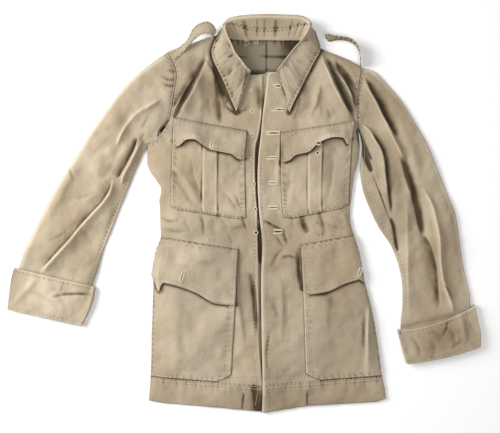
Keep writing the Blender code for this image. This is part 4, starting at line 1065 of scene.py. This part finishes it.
def make_sleeve(garment, node, table, side_table, cuff_row, outward, tear):
    ramp_at = (cuff_row - 1.1, cuff_row - 0.6)
    last = len(table) - 1
    arm = int(20 * (ramp_at[0] - 4))
    at = counted((0, 4, 52), (4, ramp_at[0], arm), (*ramp_at, 8), (ramp_at[1], last, 34))
    rings = smooth_rows(table, at)
    share = edge_shares(74)
    seam = column(side_table, share * 4)
    chord = seam - (seam[0] * (1 - share[:, None]) + seam[-1] * share[:, None])
    bow = chord[None] * np.clip(1 - at / 2.5, 0, 1)[:, None, None] ** 2
    bow[..., 0] += outward * SEAM_GAP * 1.6 * np.clip(1 - at, 0, 1)[:, None]
    if tear:
        open_at = np.exp(-(((share - tear) / 0.045) ** 2))[None] * np.exp(-((at / 0.35) ** 2))[:, None]
        bow[..., 0] += outward * 9 * open_at
        bow[..., 1] -= 4 * open_at
    ends = share[None, :, None]
    plan = rings[:, None, 2:4] * (1 - ends) + rings[:, None, :2] * ends + bow
    base = np.interp(at, ramp_at, (0.0, LAYER + 0.1))
    heights = garment.cloth.under(plan) + base[:, None] * 0.5 + CLOTH
    at_seam = np.exp(-((at / 0.25) ** 2))[:, None]
    heights = heights - 0.8 * at_seam
    shade = garment.cloth.shade(plan) + 0.3 * at_seam
    if tear:
        # Painted shade in the hole of the tear
        hole = np.exp(-(((share - tear) / 0.06) ** 2))[None] * np.exp(-((at / 0.3) ** 2))[:, None]
        shade = shade + 1.2 * hole
    # Painted shade where the sleeve goes into the cuff
    into_cuff = np.exp(-(((at - cuff_row) / 0.22) ** 2))[:, None]
    shade = shade + 0.35 * into_cuff
    grid = tube_grid(plan, base, heights)
    # A painted highlight along the sleeve's outer fold
    rim = np.exp(-(((share - 0.03) / 0.02) ** 2))
    pale = 0.5 * np.concatenate([rim, rim[1:-1][::-1] * 0, rim[:1]])[None]
    lines = [column_line(0.93, 0.02, 0.85, 30), row_line(0.012, 0.04, 0.96, 30)]
    finish_tube(garment, node, grid, shade, pale, lines)


def make_cuff(garment, node, table):
    at = np.linspace(0, len(table) - 1, 46)
    rings = smooth_rows(table, at)
    share = edge_shares(74)
    bulge = (4 * share * (1 - share))[None, :, None] * np.array([0.0, -1.0])
    ends = share[None, :, None]
    plan = rings[:, None, 2:4] * (1 - ends) + rings[:, None, :2] * ends
    plan = plan + bulge * rings[:, 4][:, None, None]
    least = 2 * LAYER + 2 * CLOTH + CUFF_CLEARANCE
    under = np.maximum(garment.cloth.under(plan) + LAYER + CUFF_CLEARANCE, least)
    heights = under + CLOTH
    edge = np.minimum(at, at[-1] - at)[:, None]
    heights = heights - 0.9 * np.exp(-((edge / 0.07) ** 2))
    grid = tube_grid(plan, np.zeros(len(at)), heights)
    lines = [row_line(0.1, 0.03, 0.97, 30), row_line(0.93, 0.03, 0.97, 30)]
    # Pale along the cuff's folded top and bottom edges: a painted highlight, with the edges' wear
    finish_tube(garment, node, grid, garment.cloth.shade(plan), 0.45 * np.exp(-((edge / 0.09) ** 2)), lines)


def make_collar(garment):
    at = np.linspace(0, 18, 250)
    rows = catmull(np.array(COLLAR, float), at)
    seam, fold, rise, edge = rows[:, 0:2], rows[:, 2:4], rows[:, 4], rows[:, 5:7]
    drape = np.clip(rows[:, 7], 0, 1)[:, None]
    cloth = garment.cloth

    def support(plan, on_front):
        base = cloth.sample(cloth.roof, plan) + CLOTH
        return np.maximum(base * on_front, CLOTH) + SEAM_GAP + COLLAR_HALF

    out = (edge - fold) / np.linalg.norm(edge - fold, axis=1)[:, None] * drape
    out = out + (1 - drape) * np.array([0.0, 1.0])
    out /= np.linalg.norm(out, axis=1)[:, None]
    seam_z = support(seam, drape[:, 0]) + 0.5 * drape[:, 0]
    fold_z = seam_z + rise
    edge_z = np.where(drape[:, 0] > 0.5, support(edge, 1.0) + 0.5, COLLAR_HALF + 0.1)
    roll = fold + out * 5
    roll_z = fold_z - np.minimum(5, 0.35 * rise)
    hang = fold + out * 2
    middle = hang * (1 - drape) + (roll + edge) / 2 * drape
    middle_z = 5 * (1 - drape[:, 0]) + ((roll_z + edge_z) / 2 + 1.5) * drape[:, 0]
    band = (seam + fold) / 2
    seam = seam - np.array([0.0, 6.0]) * (1 - drape)
    knots = np.stack([lifted(seam, seam_z), lifted(band, (seam_z + fold_z) / 2),
                      lifted(fold, fold_z), lifted(roll, roll_z), lifted(middle, middle_z),
                      lifted(edge, edge_z)])
    across = counted((0, 2, 22), (2, 3, 8), (3, 5, 30))
    surface = catmull(knots, across)
    on_leaf = ramp(across, 2.0, 2.6)[:, None] * drape[:, 0][None]
    least = support(surface[..., :2], 1.0) + 1.0
    surface[..., 2] = np.where(on_leaf > 0.5, np.maximum(surface[..., 2], least), surface[..., 2])
    rng = np.random.default_rng(11)
    leaf = ramp(across, 2.4, 3.2)[:, None] * (1 - 0.6 * ramp(across, 4.6, 5.0)[:, None])
    wrinkle = np.zeros(surface.shape[:2])
    for size, stretch, lean in ((1.0, 2.4, 0.9), (0.8, 5.1, -0.7), (0.5, 10.3, 1.6), (0.3, 17.0, -1.2)):
        wave = np.sin(at[None] * stretch + across[:, None] * lean * 3 + rng.uniform(0, 6))
        wrinkle += size * wave * (0.6 + 0.4 * np.sin(at[None] * 1.3 * stretch + 2))
    surface[..., 2] += wrinkle * leaf * drape[:, 0][None]
    in_band = ramp(across, 0.1, 0.6)[:, None] * (1 - ramp(across, 1.6, 2.0)[:, None])
    pucker = np.maximum(0, np.sin(at * 9.3 + np.sin(at * 2.9) * 1.6)) ** 3
    surface[..., 2] -= 1.3 * in_band * pucker[None]
    surface[..., 1] -= 1.6 * in_band * pucker[None] * (1 - drape[:, 0])[None]
    # Painted shade in the band's gathers, darker along the seam row, and painted shade in the hollows of
    # the leaf's wrinkles
    shade = 0.5 * in_band * pucker[None] * (1 - drape[:, 0] * 0.7)[None]
    shade += 0.6 * np.exp(-((across / 0.12) ** 2))[:, None]
    shade += np.clip(-wrinkle - 0.3, 0, 1.5) * 0.36 * leaf
    # Painted shade on the roll just past the fold, on the right-hand leaf
    painted_roll_shade = 0.3 * ramp(across, 2.2, 2.8)[:, None] * (1 - ramp(across, 3.2, 4.4)[:, None])
    shade += painted_roll_shade * (1 - ramp(at, 6, 8))[None]
    # Painted highlights along the roll line, and along the leaf's outer edge with its wear
    pale = 0.7 * np.exp(-(((across - 2.0) / 0.12) ** 2)) + 0.5 * np.exp(-(((across - 5) / 0.1) ** 2))
    pale = pale[:, None] + 0 * shade
    lines = [row_line(down, 0.01, 0.99, 60) for down in (0.955, 0.915)]
    lines += [column_line(side, 0.45, 0.955, 12) for side in (0.012, 0.988)]
    surface, seam = sew_lines(garment, surface, lines, depth=0.35)
    piece = grid_object("collar", surface, garment.materials["collar"], pale=pale,
                        shade=np.clip(shade + seam, 0, 1), thickness=DOUBLED, centred=True,
                        up_at=(48, 40))
    finish_cloth(piece, "collar")


def make_strap(garment, node, table, on_top):
    rows = catmull(np.array(table, float), np.linspace(0, len(table) - 1, 90))
    share = np.linspace(0, 1, 15)[:, None, None]
    surface = rows[None, :, :3] * (1 - share) + rows[None, :, 3:] * share
    if on_top:
        least = garment.cloth.under(surface[..., :2]) + CLOTH + SEAM_GAP + STRAP_HALF
        surface[..., 2] = np.maximum(surface[..., 2], least)
    lines = [row_line(down, 0.01, 0.99, 40) for down in (0.12, 0.88)]
    surface, shade = sew_lines(garment, surface, lines, depth=0.2)
    pale = np.zeros(surface.shape[:2])
    # Pale along both long edges: a painted highlight, with the edges' wear
    pale[-1] = pale[0] = 0.5
    piece = grid_object(node, surface, garment.materials["collar"], shade=shade, pale=pale,
                        thickness=DOUBLED, centred=True, up_at=(7, 45))
    finish_cloth(piece, node)


def make_stitches(garment):
    """Every row of stitches: short threads that dip into the cloth at both ends."""
    stitches = []
    for line in garment.stitches:
        step = np.linalg.norm(np.diff(line, axis=0), axis=1)
        length = np.concatenate([[0], np.cumsum(step)])
        for number in range(int(length[-1] / STITCH_PITCH)):
            spots = number * STITCH_PITCH + np.array([0.0, STITCH_LENGTH / 2, STITCH_LENGTH])
            points = np.stack([np.interp(spots, length, line[:, k]) for k in range(3)], -1)
            points[:, 2] += (-0.1, 0.25, -0.1)
            stitches.append(points)
    curve_piece("stitching", stitches, 0.00028, garment.materials["thread"])


def thread_ring(bm, centre, outer, inner, height):
    """A raised ring of thread or metal round a hole."""
    rings, sides = 28, 8
    verts = []
    for i in range(rings):
        angle = 2 * math.pi * i / rings
        loop = []
        for j in range(sides):
            turn = 2 * math.pi * j / sides
            radius = (outer + inner) / 2 + (outer - inner) / 2 * math.cos(turn)
            spot = (centre[0] + radius * math.cos(angle), centre[1] + radius * math.sin(angle),
                    centre[2] + height * math.sin(turn))
            loop.append(bm.verts.new((np.array(spot) - CENTRE) / 1000))
        verts.append(loop)
    for i in range(rings):
        for j in range(sides):
            a, b = verts[i], verts[(i + 1) % rings]
            bm.faces.new((a[j], b[j], b[(j + 1) % sides], a[(j + 1) % sides]))


def add_mesh(name, bm, material):
    bmesh.ops.recalc_face_normals(bm, faces=bm.faces)
    mesh = bpy.data.meshes.new(name)
    bm.to_mesh(mesh)
    bm.free()
    mesh.shade_smooth()
    mesh.materials.append(material)
    piece = bpy.data.objects.new(name, mesh)
    bpy.context.scene.collection.objects.link(piece)
    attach(piece, "root")
    return piece


def disc(bm, centre, length, width, angle, height):
    """A flat round-ended patch, as the painted shadow in a hole."""
    points = []
    for i in range(20):
        turn = 2 * math.pi * i / 20
        x, y = length / 2 * math.cos(turn), width / 2 * math.sin(turn)
        points.append((centre[0] + x * math.cos(angle) - y * math.sin(angle),
                       centre[1] + x * math.sin(angle) + y * math.cos(angle), centre[2] + height))
    verts = [bm.verts.new((np.array(point) - CENTRE) / 1000) for point in points]
    bm.faces.new(verts)


def make_holes(garment):
    """Worked buttonholes and eyelets: a painted shadow in the slit with whipped thread round it."""
    painted_shade, ring, whip = bmesh.new(), bmesh.new(), []
    holes = [(hole, garment.left_top) for hole in BUTTONHOLES]
    holes += [(hole, None) for hole in FLAP_HOLES]
    for (x, y, length, turn, gape), top_of in holes:
        angle = math.radians(turn)
        along = np.array([math.cos(angle), math.sin(angle)])
        side = np.array([-along[1], along[0]])
        middle = np.array([x, y], float)
        height = garment.height_over(middle, top_of)
        disc(painted_shade, (x, y, height), length * 0.9, 1.5 + 2.6 * gape, angle, 0.12)
        count = int(length / 0.9)
        for k in range(count):
            s = (k / (count - 1) - 0.5) * length
            open_by = 0.7 + 1.3 * gape * math.sqrt(max(0.0, 1 - (2 * s / length) ** 2))
            for sign in (1, -1):
                inner = middle + along * s + side * sign * open_by
                outer = middle + along * s + side * sign * (open_by + 2.9)
                whip.append(((*inner, height + 0.2), (*((inner + outer) / 2), height + 0.55),
                             (*outer, height + 0.05)))
    for x, y, radius in EYELETS:
        height = garment.height_over(np.array([x, y], float), garment.right_top if x < 100 else None)
        disc(painted_shade, (x, y, height), radius * 2, radius * 2, 0, 0.14)
        thread_ring(ring, (x, y, height + 0.15), radius + 1.5, radius, 0.5)
    add_mesh("hole_shadows", painted_shade, garment.materials["hole"])
    add_mesh("eyelet_rings", ring, garment.materials["thread"])
    curve_piece("buttonhole_thread", whip, 0.00046, garment.materials["thread"])


def curve_piece(name, lines, radius, material):
    data = bpy.data.curves.new(name, "CURVE")
    data.dimensions = "3D"
    data.bevel_depth = radius
    data.bevel_resolution = 0
    for line in lines:
        spline = data.splines.new("POLY")
        spline.points.add(len(line) - 1)
        for point, place in zip(spline.points, (np.array(line) - np.array(CENTRE)) / 1000):
            point.co = (*place, 1)
    data.materials.append(material)
    piece = bpy.data.objects.new(name, data)
    bpy.context.scene.collection.objects.link(piece)
    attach(piece, "root")
    return piece


# Places where threads hang loose: x, y, how many, how long, spread of their directions
FRAYS = ((-176, 156, 46, 9, 180), (-186, 148, 26, 7, 180), (-362, -30, 3, 5, 60), (-344, -122, 3, 5, 60),
         (360, -176, 3, 5, 60), (416, -170, 3, 6, 60), (438, -176, 3, 5, 60), (4, 350, 22, 8, 90),
         (24, 347, 16, 6, 90), (-323, -214, 9, 5, 120), (44, 288, 5, 6, 90))


def make_frays(garment):
    rng = np.random.default_rng(5)
    lines = []
    for x, y, count, length, spread in FRAYS:
        for _ in range(count):
            start = np.array([x, y]) + rng.normal(0, 3.2, 2)
            angle = math.radians(rng.uniform(-spread, spread) - 110)
            reach = length * rng.uniform(0.4, 1.2)
            curl = rng.uniform(-1.2, 1.2)
            base = garment.height_over(start, None)
            line = []
            for t in np.linspace(0, 1, 6):
                turn = angle + curl * t
                spot = start + reach * t * np.array([math.cos(turn), math.sin(turn)])
                line.append((*spot, base + 0.3 + 1.4 * math.sin(math.pi * t * 0.8)))
            lines.append(line)
    curve_piece("loose_threads", lines, 0.00022, garment.materials["thread"])


class Nodes:
    """Short names for making and joining shader nodes."""

    def __init__(self, name):
        self.material = bpy.data.materials.new(name)
        self.material.use_nodes = True
        self.tree = self.material.node_tree
        self.shader = self.tree.nodes["Principled BSDF"]
        self.shader.inputs["Metallic"].default_value = 0.0
        self.coords = self.tree.nodes.new("ShaderNodeTexCoord").outputs["Object"]

    def link(self, source, target):
        self.tree.links.new(source, target)

    def noise(self, scale, detail=4.0, rough=0.55, stretch=(1, 1, 1), turn=0.0):
        place = self.tree.nodes.new("ShaderNodeMapping")
        place.inputs["Scale"].default_value = stretch
        place.inputs["Rotation"].default_value = (0, 0, turn)
        self.link(self.coords, place.inputs["Vector"])
        noise = self.tree.nodes.new("ShaderNodeTexNoise")
        noise.inputs["Scale"].default_value = scale
        noise.inputs["Detail"].default_value = detail
        noise.inputs["Roughness"].default_value = rough
        self.link(place.outputs["Vector"], noise.inputs["Vector"])
        return noise.outputs["Fac"]

    def spread(self, value, low, high, start=0.0, end=1.0):
        node = self.tree.nodes.new("ShaderNodeMapRange")
        node.interpolation_type = "SMOOTHSTEP"
        for name, number in (("From Min", low), ("From Max", high), ("To Min", start), ("To Max", end)):
            node.inputs[name].default_value = number
        self.link(value, node.inputs["Value"])
        return node.outputs["Result"]

    def mix(self, share, first, second, blend="MIX"):
        node = self.tree.nodes.new("ShaderNodeMix")
        node.data_type = "RGBA"
        node.blend_type = blend
        for source, target in ((share, node.inputs[0]), (first, node.inputs[6]), (second, node.inputs[7])):
            if isinstance(source, (float, int)):
                target.default_value = source
            elif isinstance(source, (tuple, list)) or hasattr(source, "r"):
                target.default_value = (*source[:3], 1.0)
            else:
                self.link(source, target)
        return node.outputs[2]

    def maths(self, kind, first, second=0.0):
        node = self.tree.nodes.new("ShaderNodeMath")
        node.operation = kind
        for source, target in ((first, node.inputs[0]), (second, node.inputs[1])):
            if isinstance(source, (float, int)):
                target.default_value = source
            else:
                self.link(source, target)
        return node.outputs[0]

    def attribute(self, name):
        node = self.tree.nodes.new("ShaderNodeAttribute")
        node.attribute_name = name
        return node.outputs["Fac"]

    def twill(self, pitch):
        """Fine diagonal ribs of the drill, and the slubs of its threads."""
        place = self.tree.nodes.new("ShaderNodeMapping")
        place.inputs["Rotation"].default_value = (0, 0, math.radians(63))
        self.link(self.coords, place.inputs["Vector"])
        wave = self.tree.nodes.new("ShaderNodeTexWave")
        wave.inputs["Scale"].default_value = 0.314 / pitch
        wave.inputs["Distortion"].default_value = 1.2
        wave.inputs["Detail"].default_value = 1.0
        wave.inputs["Detail Scale"].default_value = 3.0
        self.link(place.outputs["Vector"], wave.inputs["Vector"])
        return wave.outputs["Fac"]

    def bump(self, height, strength, distance, before=None):
        node = self.tree.nodes.new("ShaderNodeBump")
        node.inputs["Strength"].default_value = strength
        node.inputs["Distance"].default_value = distance
        self.link(height, node.inputs["Height"])
        if before is not None:
            self.link(before, node.inputs["Normal"])
        return node.outputs["Normal"]


def khaki(name, looks, cool_low, cool_high, mid_share, painted_dimming=1.0):
    """Washed khaki drill: painted highlights on ridges, pale edges that are partly painted highlight and
    partly wear, browner and greyer areas, broad tones that are partly painted light and shade, painted
    shade in hollows, and twill.
    """
    n = Nodes(name)
    broad = n.spread(n.noise(7.0, 3.0), 0.40, 0.62)
    cool = n.spread(n.noise(4.6, 2.0, turn=0.7), cool_low, cool_high)
    mottle = n.spread(n.noise(38.0, 5.0, 0.62), 0.30, 0.72)
    fleck = n.spread(n.noise(520.0, 2.0), 0.30, 0.70)
    colour = n.mix(n.maths("MULTIPLY", broad, mid_share), tuple(looks.pale), tuple(looks.mid))
    colour = n.mix(n.maths("MULTIPLY", cool, 0.6), colour, tuple(looks.cool))
    colour = n.mix(n.maths("MULTIPLY", mottle, 0.22), colour, tuple(looks.mid))
    colour = n.mix(n.maths("MULTIPLY", fleck, 0.10), colour, tuple(looks.shade))
    # Broad tone from the cloth, partly its own uneven colour and partly painted light and shade: paler
    # above zero, darker brown below
    tone = n.attribute("tone")
    uneven = n.maths("ADD", tone, n.spread(n.noise(16.0, 4.0, 0.6), 0.25, 0.75, -0.09, 0.09))
    colour = n.mix(n.spread(uneven, 0.0, 0.6, 0.0, 0.8), colour, (0.64, 0.555, 0.42))
    colour = n.mix(n.spread(n.maths("MULTIPLY", uneven, -1.0), 0.0, 0.8), colour, (0.235, 0.165, 0.09))
    # Painted highlights along fold crests and rims, with the rims' wear
    pale = n.attribute("pale")
    colour = n.mix(n.maths("MINIMUM", n.maths("MULTIPLY", pale, 0.8), 0.9), colour, (0.70, 0.62, 0.48))
    # Painted shade in hollows, under standing edges and along seams, with a ragged edge; the deepest goes
    # to the fold colour
    shade = n.attribute("shade")
    ragged_painted_shade = n.maths("ADD", shade, n.maths("MULTIPLY", n.maths("MULTIPLY", shade, mottle), 0.35))
    deep = n.spread(ragged_painted_shade, 0.0, 0.92)
    colour = n.mix(n.maths("MULTIPLY", deep, 0.55), colour, tuple(looks.mid), "MULTIPLY")
    colour = n.mix(n.maths("MULTIPLY", n.maths("POWER", deep, 1.6), 0.96), colour, tuple(looks.shade))
    ribs = n.twill(looks.weave)
    colour = n.mix(n.maths("MULTIPLY", ribs, 0.10), colour, tuple(looks.mid), "MULTIPLY")
    # Dims the whole colour, as painted shade for the inside of the back
    if painted_dimming < 1:
        colour = n.mix(1.0, colour, (painted_dimming, painted_dimming, painted_dimming), "MULTIPLY")
    n.link(colour, n.shader.inputs["Base Color"])
    n.shader.inputs["Roughness"].default_value = 0.93
    n.shader.inputs["Specular IOR Level"].default_value = 0.18
    n.shader.inputs["Sheen Weight"].default_value = 0.08
    crumple = n.bump(n.noise(34.0, 5.0, 0.6), 0.5, 0.005)
    weave = n.bump(ribs, 0.25, 0.0002, crumple)
    n.link(weave, n.shader.inputs["Normal"])
    return n.material


def plain(name, colour, roughness=0.8):
    n = Nodes(name)
    grain = n.spread(n.noise(900.0, 2.0), 0.3, 0.7)
    darker = tuple(channel * 0.8 for channel in colour)
    n.link(n.mix(grain, tuple(colour), darker), n.shader.inputs["Base Color"])
    n.shader.inputs["Roughness"].default_value = roughness
    return n.material


GARMENT = {}


class JACKET_OT_prepare(bpy.types.Operator):
    """Work out the cloth's form and make the materials"""
    bl_idname = "jacket.prepare"
    bl_label = "Cloth and materials"

    def execute(self, context):
        looks = context.scene.jacket_looks
        garment = Garment(looks)
        garment.materials = {
            "drill": khaki("khaki drill", looks, 0.45, 0.66, 0.85),
            # The inside of the back: a greyer copy of the drill, dimmed to 0.62 as painted shade inside the
            # neck opening
            "inside": khaki("khaki drill inside, painted darker", looks, 0.25, 0.50, 1.0, 0.62),
            "collar": khaki("khaki drill collar", looks, 0.40, 0.60, 0.7),
            "thread": plain("khaki thread", tuple(looks.thread)),
            "hole": plain("shadow in a hole", (0.035, 0.025, 0.017)),
        }
        GARMENT["made"] = garment
        return {"FINISHED"}


class JACKET_OT_body(bpy.types.Operator):
    """Make the backs, the fronts and their sewn seams"""
    bl_idname = "jacket.body"
    bl_label = "Body panels"

    def execute(self, context):
        make_backs(GARMENT["made"])
        make_front_right(GARMENT["made"])
        make_front_left(GARMENT["made"])
        return {"FINISHED"}


class JACKET_OT_sleeves(bpy.types.Operator):
    """Make both sleeves and their turned-up cuffs"""
    bl_idname = "jacket.sleeves"
    bl_label = "Sleeves and cuffs"

    def execute(self, context):
        garment = GARMENT["made"]
        make_sleeve(garment, "sleeve_right", RIGHT_SLEEVE, RIGHT_SIDE, 10, -1, 0.86)
        make_sleeve(garment, "sleeve_left", LEFT_SLEEVE, LEFT_SIDE, 13, 1, None)
        make_cuff(garment, "cuff_right", RIGHT_CUFF)
        make_cuff(garment, "cuff_left", LEFT_CUFF)
        return {"FINISHED"}


class JACKET_OT_pockets(bpy.types.Operator):
    """Make the four patch pockets and their flaps"""
    bl_idname = "jacket.pockets"
    bl_label = "Pockets and flaps"

    def execute(self, context):
        garment = GARMENT["made"]
        for pocket in POCKETS:
            make_pocket(garment, *pocket)
        make_flaps(garment)
        return {"FINISHED"}


class JACKET_OT_collar(bpy.types.Operator):
    """Make the collar and the two shoulder straps"""
    bl_idname = "jacket.collar"
    bl_label = "Collar and straps"

    def execute(self, context):
        garment = GARMENT["made"]
        make_collar(garment)
        make_strap(garment, "shoulder_strap_right", RIGHT_STRAP, True)
        make_strap(garment, "shoulder_strap_left", LEFT_STRAP, False)
        return {"FINISHED"}


class JACKET_OT_sewing(bpy.types.Operator):
    """Make the stitches, buttonholes, eyelets and loose threads"""
    bl_idname = "jacket.sewing"
    bl_label = "Sewing"

    def execute(self, context):
        garment = GARMENT["made"]
        make_stitches(garment)
        make_holes(garment)
        make_frays(garment)
        return {"FINISHED"}


class JACKET_OT_stage(bpy.types.Operator):
    """Make the floor, the soft light and the camera straight above"""
    bl_idname = "jacket.stage"
    bl_label = "Stage"

    def execute(self, context):
        scene = context.scene
        bm = bmesh.new()
        bmesh.ops.create_grid(bm, x_segments=1, y_segments=1, size=6.0)
        bmesh.ops.translate(bm, verts=bm.verts, vec=(0, 0, -0.0006))
        mesh = bpy.data.meshes.new("floor")
        bm.to_mesh(mesh)
        bm.free()
        floor = bpy.data.objects.new("floor", mesh)
        scene.collection.objects.link(floor)
        paper = bpy.data.materials.new("white paper")
        paper.use_nodes = True
        paper.node_tree.nodes["Principled BSDF"].inputs["Base Color"].default_value = (0.93, 0.93, 0.93, 1)
        paper.node_tree.nodes["Principled BSDF"].inputs["Roughness"].default_value = 1.0
        mesh.materials.append(paper)

        world = bpy.data.worlds.new("soft room")
        world.use_nodes = True
        world.node_tree.nodes["Background"].inputs["Color"].default_value = (1.0, 0.99, 0.97, 1)
        world.node_tree.nodes["Background"].inputs["Strength"].default_value = 0.29
        scene.world = world
        for name, place, size, power in (
                ("window", (-1.5, 0.5, 1.05), 1.2, 50), ("fill", (0.6, -0.2, 2.6), 1.6, 30)):
            data = bpy.data.lights.new(name, "AREA")
            data.size = size
            data.energy = power
            lamp = bpy.data.objects.new(name, data)
            lamp.location = place
            lamp.rotation_euler = (-mathutils.Vector(place)).to_track_quat("-Z", "Y").to_euler()
            scene.collection.objects.link(lamp)

        camera = bpy.data.objects.new("camera", bpy.data.cameras.new("camera"))
        camera.data.lens = 72.0
        camera.data.sensor_width = 36.0
        camera.location = (0.0116, -0.0043, 2.0)
        scene.collection.objects.link(camera)
        scene.camera = camera
        scene.view_settings.view_transform = "Standard"
        return {"FINISHED"}


STEPS = (JACKET_OT_prepare, JACKET_OT_body, JACKET_OT_sleeves, JACKET_OT_pockets, JACKET_OT_collar,
         JACKET_OT_sewing, JACKET_OT_stage)


class JACKET_PT_panel(bpy.types.Panel):
    """Sizes and colours, and a button for each step"""
    bl_label = "Laid-out canvas jacket"
    bl_idname = "JACKET_PT_panel"
    bl_space_type = "VIEW_3D"
    bl_region_type = "UI"
    bl_category = "Jacket"

    def draw(self, context):
        for name in ("pale", "mid", "cool", "shade", "thread", "weave"):
            self.layout.prop(context.scene.jacket_looks, name)
        for step in STEPS:
            self.layout.operator(step.bl_idname)


CLASSES = (JacketLooks, *STEPS, JACKET_PT_panel)


def register():
    for item in CLASSES:
        bpy.utils.register_class(item)
    bpy.types.Scene.jacket_looks = bpy.props.PointerProperty(type=JacketLooks)


def unregister():
    del bpy.types.Scene.jacket_looks
    for item in reversed(CLASSES):
        bpy.utils.unregister_class(item)


def main():
    register()
    for step in (bpy.ops.jacket.prepare, bpy.ops.jacket.body, bpy.ops.jacket.sleeves,
                 bpy.ops.jacket.pockets, bpy.ops.jacket.collar, bpy.ops.jacket.sewing,
                 bpy.ops.jacket.stage):
        step()


if __name__ == "__main__":
    main()
